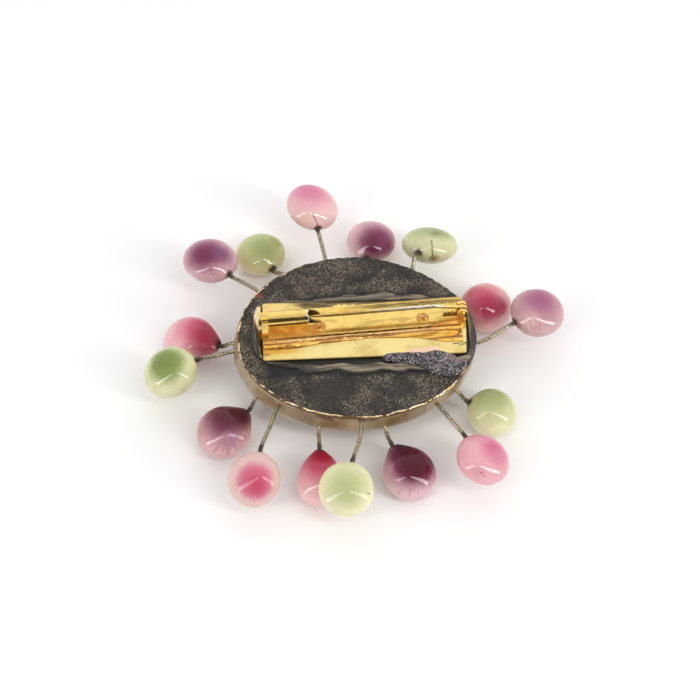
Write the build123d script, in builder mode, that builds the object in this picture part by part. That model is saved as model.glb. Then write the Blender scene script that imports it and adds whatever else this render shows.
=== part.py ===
from build123d import *
import os
from collections import namedtuple
from math import acos, asin, atan2, cos, hypot, pi, radians, sin, sqrt, tan

# An oval resin brooch lying on its front, with its pinned back upwards. +Z is up, out of the back,
# +X runs to the right and +Y away. The origin is on the surface it lies on, under the middle of the
# whole outline. Sizes are in millimetres and angles in degrees. A bearing turns from +X towards +Y.

# Oval resin body and the dark layer on its back
BODY_LENGTH = 40.7
BODY_WIDTH = 32.8
BACK_HEIGHT = 11.0
BACK_THICKNESS = 0.8
FRONT_CLEARANCE = 0.3
BODY_LEAN = 1.7
GAP = 0.02

# Drops: the usual size, the farthest and the highest that most of them stand
DROP_RADIUS = 4.6
DROP_REACH = 10.0
DROP_HEIGHT = 8.0

# Wires and their blind holes
WIRE_DIAMETER = 0.7
WIRE_DEPTH = 2.2
WIRE_STUB = 0.7
WIRE_CLEARANCE = 0.03
LARGEST_BEND = 8.0
BEND_SHARE = 0.95
WIRE_SWAY = 0.5
NECK_WALL = 0.28

# Pin back: where it lies on the back face, and its turn
BAR_X = 0.9
BAR_Y = 0.75
BAR_TURN = 5.6
SHEET_LENGTH = 34.3
SHEET_WIDTH = 11.6
SHEET_THICKNESS = 0.45
SHEET_CORNER = 0.4
BAR_LENGTH = 35.0
BAR_WIDTH = 5.5
BAR_THICKNESS = 0.8
BAR_SIDE = 1.85
BAR_CORNER = 0.6
GLUE_HOLE_DIAMETER = 2.1
GLUE_HOLE_SPACING = 17.6
GLUE_HOLE_PLACE = 1.7
GLUE_HOLE_OFFSET = 0.8
GLUE_CROWN = 0.3

# Pin stem, its hinge and its catch
PIN_SIDE = 1.35
PIN_LIFT = 2.5
PIN_DIAMETER = 0.66
TIP_DIAMETER = 0.12
TIP_TAPER = 2.8
TIP_GAP = 0.15
HINGE_INSET = 0.3
HINGE_LIFT = 1.0
ROOT_LENGTH = 4.6
ROOT_BEND = 3.0
RIVET_DIAMETER = 0.5
RIVET_HEAD = 1.0
RIVET_HEAD_THICKNESS = 0.18
RUNNING_CLEARANCE = 0.03
EAR_GAP = 1.1
EAR_THICKNESS = 0.55
EAR_LENGTH = 1.8
TAIL_LENGTH = 3.2
BARREL_INSET = 1.7
BARREL_LENGTH = 6.7
BARREL_DIAMETER = 2.8
BARREL_END_WALL = 0.8
SADDLE_WIDTH = 1.7
SADDLE_LENGTH = 5.6
SCOOP_LENGTH = 2.7
SCOOP_WALL = 0.25
PUMP_DIAMETER = 1.7
PUMP_BORE = 1.1
PUMP_CLEARANCE = 0.08
PUMP_NECK_DIAMETER = 1.2
PUMP_TRAVEL = 1.1
KNOB_DIAMETER = 4.8
KNOB_RIM = 0.5
KNOB_CROWN = 0.8

# Putty bed round the sheet, the epoxy seam and the patch of grit
BED_THICKNESS = 0.55
SHEET_SINK = 0.38
BED_MARGIN = 1.1
BED_RIM = 0.3
POCKET_CLEARANCE = 0.25
SEAM_WIDTH = 3.5
SEAM_HEIGHT = 0.55
SEAM_CREST = 0.35
PATCH_THICKNESS = 0.65
PATCH_EDGE = 0.45

# Sections of the resin body from its band down to its domed front: the share of its depth, the
# share of the back face's outline, and the share of its lean to the left there.
Section = namedtuple("Section", "down spread lean")
BODY_SECTIONS = [
    Section(0.0, 1.0, 0.0),
    Section(0.13, 1.012, 0.15),
    Section(0.28, 1.016, 0.3),
    Section(0.46, 0.98, 0.5),
    Section(0.64, 0.885, 0.68),
    Section(0.8, 0.74, 0.82),
    Section(0.92, 0.53, 0.94),
    Section(1.0, 0.28, 1.0),
]

# Corners of the thin backing sheet in the bar's own directions, as shares of the sheet's length
# and width. The cut one is at the right.
Corner = namedtuple("Corner", "along side")
SHEET_CORNERS = [
    Corner(-0.5, -0.4),
    Corner(0.5, -0.55),
    Corner(0.528, 0.2),
    Corner(0.495, 0.38),
    Corner(-0.478, 0.6),
]

# Resin drops, clockwise from the top. Reach, from the body's edge to the drop's middle, height and
# radius are shares of the drops' named sizes. A drop with no height rests on the surface. Flatness
# is its thickness as a share of its width, neck the length of its taper as a share of its radius,
# and tilt leans its flat side towards a bearing.
Drop = namedtuple("Drop", "name bearing reach height radius flatness tilt tilt_bearing neck")
DROPS = [
    Drop("01_pink", 105, 1.35, 1.0, 1.02, 0.64, 20, 20, 1.08),
    Drop("02_purple", 84, 0.9, None, 0.95, 0.66, 12, 80, 1.12),
    Drop("03_green", 59, 0.79, 0.88, 1.07, 0.62, 40, 82, 1.05),
    Drop("04_pink", 25, 0.55, None, 0.99, 0.85, 8, 20, 1.12),
    Drop("05_purple", 12, 1.18, 1.0, 1.01, 0.66, 10, 0, 1.07),
    Drop("06_green", -25, 0.61, None, 0.91, 0.78, 22, -40, 1.12),
    Drop("07_pink", -47, 1.3, 0.94, 1.01, 0.64, 20, 5, 1.07),
    Drop("08_purple", -68.5, 0.76, None, 0.99, 0.66, 14, -70, 1.28),
    Drop("09_green", -93.5, 1.23, 1.02, 1.01, 0.62, 16, -90, 1.05),
    Drop("10_pink", -104, 0.86, None, 0.88, 0.68, 16, -90, 1.5),
    Drop("11_pink", -123, 1.4, 0.88, 1.0, 0.68, 30, -125, 1.12),
    Drop("12_purple", -147, 0.8, None, 1.0, 0.68, 14, -110, 1.24),
    Drop("13_green", -171, 1.19, 0.88, 1.01, 0.78, 22, -170, 1.1),
    Drop("14_pink", 172, 0.91, None, 1.0, 0.66, 18, 170, 1.45),
    Drop("15_purple", 145, 1.24, 0.94, 1.04, 0.64, 14, 80, 1.08),
    Drop("16_green", 127, 1.06, None, 0.96, 0.64, 12, 115, 1.12),
]

# Where each wire leaves the body: its bearing, its depth below the back face as a share of the
# body's height, and how far it sways sideways and upwards halfway along, as shares of the sway.
Exit = namedtuple("Exit", "bearing below sideways upwards")
EXITS = [
    Exit(107, 0.18, 0.0, 0.6),
    Exit(86, 0.22, 0.6, 0.8),
    Exit(56, 0.2, 0.4, 0.6),
    Exit(22, 0.25, -0.6, 0.4),
    Exit(0, 0.22, -0.6, 0.6),
    Exit(-29, 0.22, 0.8, 0.6),
    Exit(-42, 0.18, -0.4, 0.8),
    Exit(-72, 0.29, -0.6, 0.8),
    Exit(-87, 0.08, 1.0, 1.0),
    Exit(-110, 0.31, 0.0, 0.6),
    Exit(-135, 0.16, 0.6, 0.8),
    Exit(-148, 0.29, 0.4, 0.4),
    Exit(-175, 0.2, 1.0, 0.8),
    Exit(179, 0.27, 0.0, 0.6),
    Exit(151, 0.04, 0.0, 0.4),
    Exit(131, 0.2, 0.4, 0.6),
]

# Width of the epoxy seam beyond the bar's near edge, as a share of its widest, along the bar
Seam = namedtuple("Seam", "along width")
SEAM_ROWS = [
    Seam(-0.485, 0.51),
    Seam(-0.32, 0.54),
    Seam(-0.2, 0.37),
    Seam(0.05, 0.31),
    Seam(0.25, 0.51),
    Seam(0.4, 0.91),
    Seam(0.485, 1.0),
]

# Round lobes of the putty bed, as shares of the sheet's length and width
Lobe = namedtuple("Lobe", "along side length width")
BED_LOBES = [
    Lobe(0.01, 0.46, 0.76, 0.26),
    Lobe(0.09, -0.52, 0.82, 0.4),
]

# Rounds that the grit patch is drawn round, as shares of the sheet's length and width
Round = namedtuple("Round", "along side diameter")
PATCH_ROUNDS = [
    Round(0.105, -0.51, 0.1),
    Round(0.367, -0.57, 0.34),
    Round(0.484, -0.7, 0.2),
]


def half_axes():
    """The back face's half length and half width."""
    return BODY_LENGTH / 2, BODY_WIDTH / 2


def edge_distance(bearing):
    """From the body's middle to its outline along a bearing."""
    half_length, half_width = half_axes()
    return 1 / hypot(cos(radians(bearing)) / half_length, sin(radians(bearing)) / half_width)


def level(bearing):
    """A level direction."""
    return Vector(cos(radians(bearing)), sin(radians(bearing)), 0)


def flat_direction(drop):
    """The direction that a drop's flat side faces."""
    return level(drop.tilt_bearing) * sin(radians(drop.tilt)) + Vector(0, 0, cos(radians(drop.tilt)))


def drop_radius(drop):
    """A drop's real radius."""
    return DROP_RADIUS * drop.radius


def half_span(drop, direction):
    """Half of a drop's size along a direction."""
    share = flat_direction(drop).dot(direction)
    return drop_radius(drop) * sqrt(1 - share**2 + (drop.flatness * share) ** 2)


def drop_offset(drop):
    """A drop's middle from the body's middle, on the level of the surface."""
    up = Vector(0, 0, 1)
    height = DROP_HEIGHT * drop.height if drop.height else half_span(drop, up)
    reach = DROP_REACH * drop.reach
    return level(drop.bearing) * (edge_distance(drop.bearing) + reach) + up * height


def outline_middle(direction):
    """Middle of the whole outline along a direction, from the body's middle."""
    far = max(drop_offset(drop).dot(direction) + half_span(drop, direction) for drop in DROPS)
    near = min(drop_offset(drop).dot(direction) - half_span(drop, direction) for drop in DROPS)
    return (far + near) / 2


BODY_X = -outline_middle(Vector(1, 0, 0))
BODY_Y = -outline_middle(Vector(0, 1, 0))
BODY_MIDDLE = Vector(BODY_X, BODY_Y, 0)

bar_origin = BODY_MIDDLE + Vector(BAR_X, BAR_Y, BACK_HEIGHT)
bar_plane = Plane(origin=bar_origin, x_dir=level(BAR_TURN), z_dir=(0, 0, 1))

# Heights above the back face
sheet_base = BED_THICKNESS - SHEET_SINK
sheet_top = sheet_base + SHEET_THICKNESS
bar_base = sheet_top + GAP
bar_top = bar_base + BAR_THICKNESS
pin_height = bar_top + PIN_LIFT

# Places along the bar
hinge_place = BAR_LENGTH / 2 - HINGE_INSET
barrel_left = BARREL_INSET - BAR_LENGTH / 2
barrel_mouth = barrel_left + BARREL_LENGTH
barrel_bore = PUMP_DIAMETER / 2 + PUMP_CLEARANCE
pump_end = barrel_mouth - PUMP_CLEARANCE
tip_place = pump_end + TIP_GAP
bar_near_edge = BAR_SIDE - BAR_WIDTH / 2
stem_end = hinge_place - ROOT_LENGTH
hinge_height = bar_top + HINGE_LIFT


def across_bar(along, height=pin_height, side=PIN_SIDE):
    """A plane square to the bar, facing along it, with its own up direction upwards."""
    middle = bar_plane.from_local_coords((along, side, height))
    return Plane(origin=middle, x_dir=bar_plane.y_dir, z_dir=bar_plane.x_dir)


def beside_bar(side=PIN_SIDE, height=0.0):
    """An upright plane along the bar, facing its near side."""
    middle = bar_plane.from_local_coords((0, side, height))
    return Plane(origin=middle, x_dir=bar_plane.x_dir, z_dir=-bar_plane.y_dir)


def drop_plane(drop, exit_point):
    """A drop's own directions: x towards its neck and z out of its flat side."""
    middle = BODY_MIDDLE + drop_offset(drop)
    facing = flat_direction(drop)
    towards = exit_point - middle
    return Plane(origin=middle, x_dir=towards - facing * towards.dot(facing), z_dir=facing)


def depth_of(exit_row):
    """How far below the back face a wire leaves the body."""
    return BACK_HEIGHT * exit_row.below


def body_at(below):
    """The body's spread and lean at a depth below its back face."""
    share = max(0, (below - BACK_THICKNESS) / (BACK_HEIGHT - BACK_THICKNESS - FRONT_CLEARANCE))
    pairs = zip(BODY_SECTIONS, BODY_SECTIONS[1:])
    above, under = next(pair for pair in pairs if pair[1].down >= share)
    part_way = (share - above.down) / (under.down - above.down)
    spread = above.spread + (under.spread - above.spread) * part_way
    return spread, BODY_LEAN * (above.lean + (under.lean - above.lean) * part_way)


def wall_point(exit_row):
    """Where a wire leaves the body's band."""
    spread, lean = body_at(depth_of(exit_row))
    outwards = level(exit_row.bearing) * edge_distance(exit_row.bearing) * spread
    return BODY_MIDDLE + outwards + Vector(-lean, 0, BACK_HEIGHT - depth_of(exit_row))


def wall_direction(exit_row):
    """Straight out of the band at a wire."""
    half_length, half_width = half_axes()
    along = level(exit_row.bearing)
    return Vector(along.X / half_length**2, along.Y / half_width**2, 0).normalized()


def wire_points(drop, exit_row):
    """A wire's corners, from the bottom of its hole in the body to that in the drop."""
    wall = wall_point(exit_row)
    outwards = wall_direction(exit_row)
    seat = drop_plane(drop, wall)
    neck = seat.origin + seat.x_dir * drop_radius(drop) * drop.neck
    leaving = wall + outwards * WIRE_STUB
    arriving = neck + seat.x_dir * WIRE_STUB
    sideways = Vector(0, 0, 1).cross(arriving - leaving).normalized()
    sway = (sideways * exit_row.sideways + Vector(0, 0, exit_row.upwards)) * WIRE_SWAY
    middle = (leaving + arriving) / 2 + sway
    inside = wall - outwards * WIRE_DEPTH
    return [inside, leaving, middle, arriving, neck - seat.x_dir * WIRE_DEPTH]


def bend_radii(points):
    """As large a bend at each corner as the free wire beside it allows."""
    rooms = [(after - before).length / 2 for before, after in zip(points, points[1:])]
    rooms[0] = rooms[-1] = WIRE_STUB
    radii = []
    for place, corner in enumerate(points[1:-1]):
        turn = (corner - points[place]).get_angle(points[place + 2] - corner)
        room = min(rooms[place], rooms[place + 1]) * BEND_SHARE
        radii.append(min(LARGEST_BEND, room / tan(radians(turn) / 2)))
    return radii


def crown_arc(radius, crown):
    """The middle and the end of a round crown's section, outwards and upwards from its edge's centre."""
    sphere = (radius**2 + crown**2) / (2 * crown)
    half = asin(min(1, radius / sphere)) / 2
    return [(sphere * sin(half), crown - sphere * (1 - cos(half))), (0, crown)]


def save(part, name):
    """Labels a finished piece and writes it."""
    part.label = name
    export_step(part, f"parts/{name}.step")


def holes_for_wires():
    """Cuts the blind holes of all wires out of the piece being built."""
    for exit_row in EXITS:
        outwards = wall_direction(exit_row)
        bottom = wall_point(exit_row) - outwards * (WIRE_DEPTH + GAP)
        with Locations(Plane(origin=bottom, z_dir=outwards)):
            Cylinder(
                WIRE_DIAMETER / 2 + WIRE_CLEARANCE,
                WIRE_DEPTH + WIRE_STUB,
                align=(Align.CENTER, Align.CENTER, Align.MIN),
                mode=Mode.SUBTRACT,
            )


def make_oval_body():
    band_top = BACK_HEIGHT - BACK_THICKNESS
    depth = band_top - FRONT_CLEARANCE
    half_length, half_width = half_axes()
    with BuildPart() as body:
        for section in BODY_SECTIONS:
            with BuildSketch(Plane(BODY_MIDDLE).offset(band_top - depth * section.down)):
                with Locations((-BODY_LEAN * section.lean, 0)):
                    Ellipse(half_length * section.spread, half_width * section.spread)
        loft()
        holes_for_wires()
    return body.part


def make_back_layer():
    half_length, half_width = half_axes()
    with BuildPart() as layer:
        with BuildSketch(Plane(BODY_MIDDLE).offset(BACK_HEIGHT - BACK_THICKNESS + GAP)):
            Ellipse(half_length, half_width)
        extrude(amount=BACK_THICKNESS - GAP)
        holes_for_wires()
    return layer.part


def sheet_outline(grow=0.0):
    """The backing sheet's outline, grown evenly, in the sketch being built."""
    corners = [(SHEET_LENGTH * corner.along, SHEET_WIDTH * corner.side) for corner in SHEET_CORNERS]
    Polygon(*corners, align=None)
    fillet(vertices(), SHEET_CORNER)
    if grow:
        offset(amount=grow)


def make_clay_bed():
    half_length, half_width = half_axes()
    with BuildPart() as bed:
        with BuildSketch(bar_plane.offset(GAP)):
            sheet_outline(BED_MARGIN)
            for lobe in BED_LOBES:
                with Locations((SHEET_LENGTH * lobe.along, SHEET_WIDTH * lobe.side)):
                    Ellipse(SHEET_LENGTH * lobe.length / 2, SHEET_WIDTH * lobe.width / 2)
        extrude(amount=BED_THICKNESS - GAP)
        with BuildSketch(Plane(BODY_MIDDLE).offset(BACK_HEIGHT)):
            Ellipse(half_length - BED_RIM, half_width - BED_RIM)
        extrude(amount=BED_THICKNESS, mode=Mode.INTERSECT)
        with BuildSketch(bar_plane.offset(sheet_base - GAP)):
            sheet_outline(POCKET_CLEARANCE)
        extrude(amount=BED_THICKNESS, mode=Mode.SUBTRACT)
    return bed.part


def make_backing_sheet():
    with BuildPart() as sheet:
        with BuildSketch(bar_plane.offset(sheet_base)):
            sheet_outline()
        extrude(amount=SHEET_THICKNESS)
    return sheet.part


def glue_hole_places():
    """Middles of the two holes in the bar that glue has filled."""
    return [(GLUE_HOLE_PLACE + side * GLUE_HOLE_SPACING / 2, GLUE_HOLE_OFFSET) for side in (-1, 1)]


def make_pin_bar():
    with BuildPart() as bar:
        # Flat strip with its two holes
        with BuildSketch(bar_plane.offset(bar_base)):
            with Locations((0, BAR_SIDE)):
                RectangleRounded(BAR_LENGTH, BAR_WIDTH, BAR_CORNER)
            with Locations(glue_hole_places()):
                Circle(GLUE_HOLE_DIAMETER / 2, mode=Mode.SUBTRACT)
        extrude(amount=BAR_THICKNESS)
        # Saddle and barrel of the catch
        with BuildSketch(bar_plane.offset(bar_top - GAP)):
            with Locations((barrel_left + BARREL_LENGTH / 2, PIN_SIDE)):
                Rectangle(SADDLE_LENGTH, SADDLE_WIDTH)
        extrude(amount=PIN_LIFT - barrel_bore + GAP)
        with BuildSketch(across_bar(barrel_left)):
            Circle(BARREL_DIAMETER / 2)
        extrude(amount=BARREL_LENGTH)
        with BuildSketch(across_bar(barrel_mouth)):
            Circle(barrel_bore + SCOOP_WALL)
        extrude(amount=SCOOP_LENGTH)
        with BuildSketch(across_bar(barrel_left + BARREL_END_WALL)):
            Circle(barrel_bore)
        extrude(amount=BARREL_LENGTH + SCOOP_LENGTH, mode=Mode.SUBTRACT)
        with BuildSketch(across_bar(barrel_left)):
            Circle(PUMP_NECK_DIAMETER / 2 + PUMP_CLEARANCE)
        extrude(amount=BARREL_END_WALL, mode=Mode.SUBTRACT)
        # Scoop cut on the slant, so that the pin can lift out of it
        scoop_end = barrel_mouth + SCOOP_LENGTH
        scoop_radius = barrel_bore + SCOOP_WALL
        with BuildSketch(beside_bar(PIN_SIDE, pin_height)):
            Polygon(
                (barrel_mouth, barrel_bore),
                (scoop_end, -barrel_bore),
                (scoop_end + GAP, scoop_radius + GAP),
                (barrel_mouth, scoop_radius + GAP),
                align=None,
            )
        extrude(amount=BARREL_DIAMETER / 2, both=True, mode=Mode.SUBTRACT)
        # Rounded ears of the hinge, drilled for the rivet
        ear_places = [PIN_SIDE + side * (EAR_GAP + EAR_THICKNESS) / 2 for side in (-1, 1)]
        for place in ear_places:
            with BuildSketch(beside_bar(place)):
                with Locations((hinge_place, hinge_height)):
                    Circle(EAR_LENGTH / 2)
                with Locations((hinge_place, (bar_top + hinge_height) / 2 - GAP)):
                    Rectangle(EAR_LENGTH, hinge_height - bar_top + 2 * GAP)
                with Locations((hinge_place, hinge_height)):
                    Circle(RIVET_DIAMETER / 2 + GAP, mode=Mode.SUBTRACT)
            extrude(amount=EAR_THICKNESS / 2, both=True)
    return bar.part


def make_glue_plug(place):
    """Glue that fills a hole of the bar and stands up from it in a low crown."""
    radius = GLUE_HOLE_DIAMETER / 2 - GAP
    with BuildPart() as plug:
        with BuildSketch(Plane.XZ):
            with BuildLine():
                Line((0, bar_base), (radius, bar_base))
                Line((radius, bar_base), (radius, bar_top))
                crown = [(out, bar_top + up) for out, up in crown_arc(radius, GLUE_CROWN)]
                ThreePointArc((radius, bar_top), *crown)
                Line((0, bar_top + GLUE_CROWN), (0, bar_base))
            make_face()
        revolve(axis=Axis.Z)
    with BuildPart(bar_plane.shift_origin(bar_plane.from_local_coords((*place, 0)))) as placed:
        add(plug.part)
    return placed.part


def seam_outline(share):
    """The epoxy seam's outline with its width scaled, in the sketch being built."""
    edge = bar_near_edge - GAP
    near = [(row.along * BAR_LENGTH, edge - row.width * SEAM_WIDTH * share) for row in SEAM_ROWS]
    far = [(row.along * BAR_LENGTH, edge) for row in reversed(SEAM_ROWS)]
    Polygon(*near, *far, align=None)


def make_glue_seam():
    with BuildPart() as seam:
        with BuildSketch(bar_plane.offset(sheet_top + GAP)):
            seam_outline(1)
        with BuildSketch(bar_plane.offset(sheet_top + SEAM_HEIGHT)):
            seam_outline(SEAM_CREST)
        loft(ruled=True)
    return seam.part


def patch_outline(inset):
    """The grit patch's outline, drawn in by an inset, in the sketch being built."""
    for bulge in PATCH_ROUNDS:
        with Locations((SHEET_LENGTH * bulge.along, SHEET_WIDTH * bulge.side)):
            Circle(SHEET_WIDTH * bulge.diameter / 2 - inset)
    make_hull()


def make_grit_patch():
    with BuildPart() as patch:
        with BuildSketch(bar_plane.offset(BED_THICKNESS + GAP)):
            patch_outline(0)
        with BuildSketch(bar_plane.offset(BED_THICKNESS + PATCH_THICKNESS)):
            patch_outline(PATCH_EDGE)
        loft(ruled=True)
        with BuildSketch(bar_plane.offset(sheet_base)):
            sheet_outline(GAP)
        extrude(amount=SHEET_THICKNESS + GAP, mode=Mode.SUBTRACT)
    return patch.part


def make_hinge_rivet():
    shank = EAR_GAP + 2 * EAR_THICKNESS + 2 * GAP
    with BuildPart() as rivet:
        with BuildSketch(beside_bar(PIN_SIDE, hinge_height)):
            with Locations((hinge_place, 0)):
                Circle(RIVET_DIAMETER / 2)
        extrude(amount=shank / 2 + RIVET_HEAD_THICKNESS, both=True)
        for side in (-1, 1):
            with BuildSketch(beside_bar(PIN_SIDE + side * shank / 2, hinge_height)):
                with Locations((hinge_place, 0)):
                    Circle(RIVET_HEAD / 2)
            extrude(amount=-side * RIVET_HEAD_THICKNESS)
    return rivet.part


def bar_points(*places):
    """Points over the middle of the pin, from their places along the bar and their heights."""
    return [bar_plane.from_local_coords((along, PIN_SIDE, height)) for along, height in places]


def make_pin_stem():
    """A wire that slopes down behind its stem to an eye round the rivet, and ends in a tail."""
    wire_radius = PIN_DIAMETER / 2
    eye_bore = RIVET_DIAMETER / 2 + RUNNING_CLEARANCE
    ring = eye_bore + wire_radius
    taper_start = tip_place + TIP_TAPER
    with BuildPart() as stem:
        with BuildLine() as path:
            FilletPolyline(
                *bar_points(
                    (taper_start, pin_height),
                    (stem_end, pin_height),
                    (hinge_place, hinge_height + ring),
                ),
                radius=ROOT_BEND,
            )
        with BuildSketch(across_bar(taper_start)):
            Circle(wire_radius)
        sweep(path=path.line)
        with BuildSketch(across_bar(tip_place)):
            Circle(TIP_DIAMETER / 2)
        with BuildSketch(across_bar(taper_start)):
            Circle(wire_radius)
        loft()
        # Eye round the rivet
        with BuildSketch(beside_bar(PIN_SIDE, hinge_height)):
            with Locations((hinge_place, 0)):
                Circle(ring + wire_radius)
        extrude(amount=wire_radius, both=True)
        # Tail that stops the pin against the bar
        with BuildLine() as tail:
            Line(
                *bar_points(
                    (hinge_place, hinge_height - ring),
                    (hinge_place - TAIL_LENGTH, bar_top + GAP + wire_radius),
                )
            )
        with BuildSketch(Plane(origin=tail.line @ 0, z_dir=tail.line % 0)):
            Circle(wire_radius)
        sweep(path=tail.line)
        with BuildSketch(beside_bar(PIN_SIDE, hinge_height)):
            with Locations((hinge_place, 0)):
                Circle(eye_bore)
        extrude(amount=PIN_DIAMETER, both=True, mode=Mode.SUBTRACT)
    return stem.part


def make_pump():
    shoulder = barrel_left + BARREL_END_WALL + PUMP_CLEARANCE / 2
    knob_face = barrel_left - PUMP_TRAVEL - PUMP_CLEARANCE
    rim_edge = knob_face - KNOB_RIM
    with BuildPart() as pump:
        with BuildSketch(across_bar(shoulder)):
            Circle(PUMP_DIAMETER / 2)
        extrude(amount=pump_end - shoulder)
        with BuildSketch(across_bar(knob_face)):
            Circle(PUMP_NECK_DIAMETER / 2)
        extrude(amount=shoulder - knob_face)
        with BuildSketch(across_bar(shoulder + BARREL_END_WALL)):
            Circle(PUMP_BORE / 2)
        extrude(amount=BARREL_LENGTH, mode=Mode.SUBTRACT)
        # Knob: a flat rim with a crown on its outer face
        with BuildSketch(beside_bar(PIN_SIDE, pin_height)):
            with BuildLine():
                Polyline(
                    (knob_face, 0),
                    (knob_face, KNOB_DIAMETER / 2),
                    (rim_edge, KNOB_DIAMETER / 2),
                )
                crown = [(rim_edge - up, out) for out, up in crown_arc(KNOB_DIAMETER / 2, KNOB_CROWN)]
                ThreePointArc((rim_edge, KNOB_DIAMETER / 2), *crown)
                Line((rim_edge - KNOB_CROWN, 0), (knob_face, 0))
            make_face()
        axle = bar_plane.from_local_coords((0, PIN_SIDE, pin_height))
        revolve(axis=Axis(origin=axle, direction=bar_plane.x_dir))
    return pump.part


def make_wire(points):
    with BuildPart() as wire:
        with BuildLine() as path:
            FilletPolyline(*points, radius=bend_radii(points))
        with BuildSketch(Plane(origin=path.line @ 0, z_dir=path.line % 0)):
            Circle(WIRE_DIAMETER / 2)
        sweep(path=path.line)
    return wire.part


def make_drop(drop, exit_row):
    """A flattened ball of resin drawn out to a neck round its wire."""
    radius = drop_radius(drop)
    tip = radius * drop.neck
    tip_radius = WIRE_DIAMETER / 2 + WIRE_CLEARANCE + NECK_WALL
    # The taper leaves the round outline where it is tangent to it
    leave = atan2(tip_radius, tip) + acos(radius / hypot(tip, tip_radius))
    half = (pi + leave) / 2
    with BuildPart() as blank:
        with BuildSketch():
            with BuildLine() as outline:
                ThreePointArc(
                    (-radius, 0),
                    (radius * cos(half), radius * sin(half)),
                    (radius * cos(leave), radius * sin(leave)),
                )
                Polyline(outline.line @ 1, (tip, tip_radius), (tip, 0), (-radius, 0))
            make_face()
        revolve(axis=Axis.X)
        scale(by=(1, 1, drop.flatness))
        with Locations((tip - WIRE_DEPTH - GAP, 0, 0)):
            Cylinder(
                WIRE_DIAMETER / 2 + WIRE_CLEARANCE,
                WIRE_DEPTH + WIRE_STUB,
                rotation=(0, 90, 0),
                align=(Align.CENTER, Align.CENTER, Align.MIN),
                mode=Mode.SUBTRACT,
            )
    with BuildPart(drop_plane(drop, wall_point(exit_row))) as placed:
        add(blank.part)
    return placed.part


os.makedirs("parts", exist_ok=True)
save(make_oval_body(), "oval_body")
save(make_back_layer(), "back_layer")
save(make_clay_bed(), "clay_bed")
save(make_backing_sheet(), "backing_sheet")
save(make_pin_bar(), "pin_bar")
for side_name, hole_place in zip(("left", "right"), glue_hole_places()):
    save(make_glue_plug(hole_place), f"glue_plug_{side_name}")
save(make_glue_seam(), "glue_seam")
save(make_grit_patch(), "grit_patch")
save(make_hinge_rivet(), "hinge_rivet")
save(make_pin_stem(), "pin_stem")
save(make_pump(), "pump")
for drop_row, exit_place in zip(DROPS, EXITS):
    save(make_wire(wire_points(drop_row, exit_place)), f"wire_{drop_row.name[:2]}")
    save(make_drop(drop_row, exit_place), f"drop_{drop_row.name}")
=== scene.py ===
import math
import random
from collections import namedtuple

import bmesh
import bpy
from mathutils import Matrix, Vector, noise
from mathutils.bvhtree import BVHTree


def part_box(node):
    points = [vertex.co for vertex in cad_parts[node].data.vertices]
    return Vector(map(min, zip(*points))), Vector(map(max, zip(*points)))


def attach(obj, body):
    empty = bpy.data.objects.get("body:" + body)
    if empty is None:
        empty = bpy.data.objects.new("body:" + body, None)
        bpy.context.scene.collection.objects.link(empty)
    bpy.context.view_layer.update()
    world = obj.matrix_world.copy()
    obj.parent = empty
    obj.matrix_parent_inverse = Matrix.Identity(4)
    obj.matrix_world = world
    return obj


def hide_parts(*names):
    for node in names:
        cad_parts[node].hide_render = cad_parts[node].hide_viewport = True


# A resin brooch on its front, its pinned back upwards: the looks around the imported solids.
# Lengths in the tables and in the finishes are millimetres. Colours are read off as 0 to 255.

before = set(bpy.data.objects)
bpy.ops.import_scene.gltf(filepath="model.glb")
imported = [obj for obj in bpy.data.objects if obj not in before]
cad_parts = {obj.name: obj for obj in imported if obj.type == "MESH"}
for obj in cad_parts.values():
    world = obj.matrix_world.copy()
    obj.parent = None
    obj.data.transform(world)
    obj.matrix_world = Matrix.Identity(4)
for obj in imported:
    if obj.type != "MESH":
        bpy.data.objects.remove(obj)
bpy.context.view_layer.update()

MM = 0.001
SAME_PLACE = 1e-7
UP = Vector((0, 0, 1))


def middle_of(node):
    """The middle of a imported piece, and half of its size."""
    low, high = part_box(node)
    return (low + high) / 2, (high - low) / 2


BACK_MIDDLE, BACK_HALF = middle_of("back_layer")
BACK_BOTTOM, BACK_TOP = (corner.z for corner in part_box("back_layer"))

# The bar's own directions on the back face, and its middle from that of the face
BAR_TURN = math.radians(5.6)
BAR_ALONG = Vector((math.cos(BAR_TURN), math.sin(BAR_TURN), 0))
BAR_ACROSS = Vector((-math.sin(BAR_TURN), math.cos(BAR_TURN), 0))
BAR_X, BAR_Y = 0.9 * MM, 0.75 * MM
BAR_MIDDLE = Vector((BACK_MIDDLE.x + BAR_X, BACK_MIDDLE.y + BAR_Y, BACK_TOP))

# How far the pin and the catch lie beside the bar's middle line
PIN_SIDE = 1.35

# The sheet's lower and upper edges, from the bar's middle line, and how they slope away from it
SHEET_LOW, LOW_SLOPE = 5.45, 0.0507
SHEET_HIGH, HIGH_SLOPE = 5.71, 0.0764


def on_bar(along, side, height=0.0):
    """A point of the back face in the bar's own directions."""
    return BAR_MIDDLE + (BAR_ALONG * along + BAR_ACROSS * side + UP * height) * MM


def spot(along, side, height=0.0):
    """The same point in millimetres, as the finishes take it."""
    return tuple(on_bar(along, side, height) / MM)


def bar_place(point):
    """Where a point lies in the bar's own directions: along, side and height."""
    offset = (point - BAR_MIDDLE) / MM
    return offset.dot(BAR_ALONG), offset.dot(BAR_ACROSS), offset.z


def tone(red, green, blue):
    """A colour as it is seen, made linear."""
    shares = [level / 255 for level in (red, green, blue)]
    linear = [s / 12.92 if s < 0.04045 else ((s + 0.055) / 1.055) ** 2.4 for s in shares]
    return (*linear, 1.0)


def fade(value, start, end):
    """0 before start and 1 after end, easing between."""
    share = min(1.0, max(0.0, (value - start) / (end - start)))
    return share * share * (3 - 2 * share)


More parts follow.
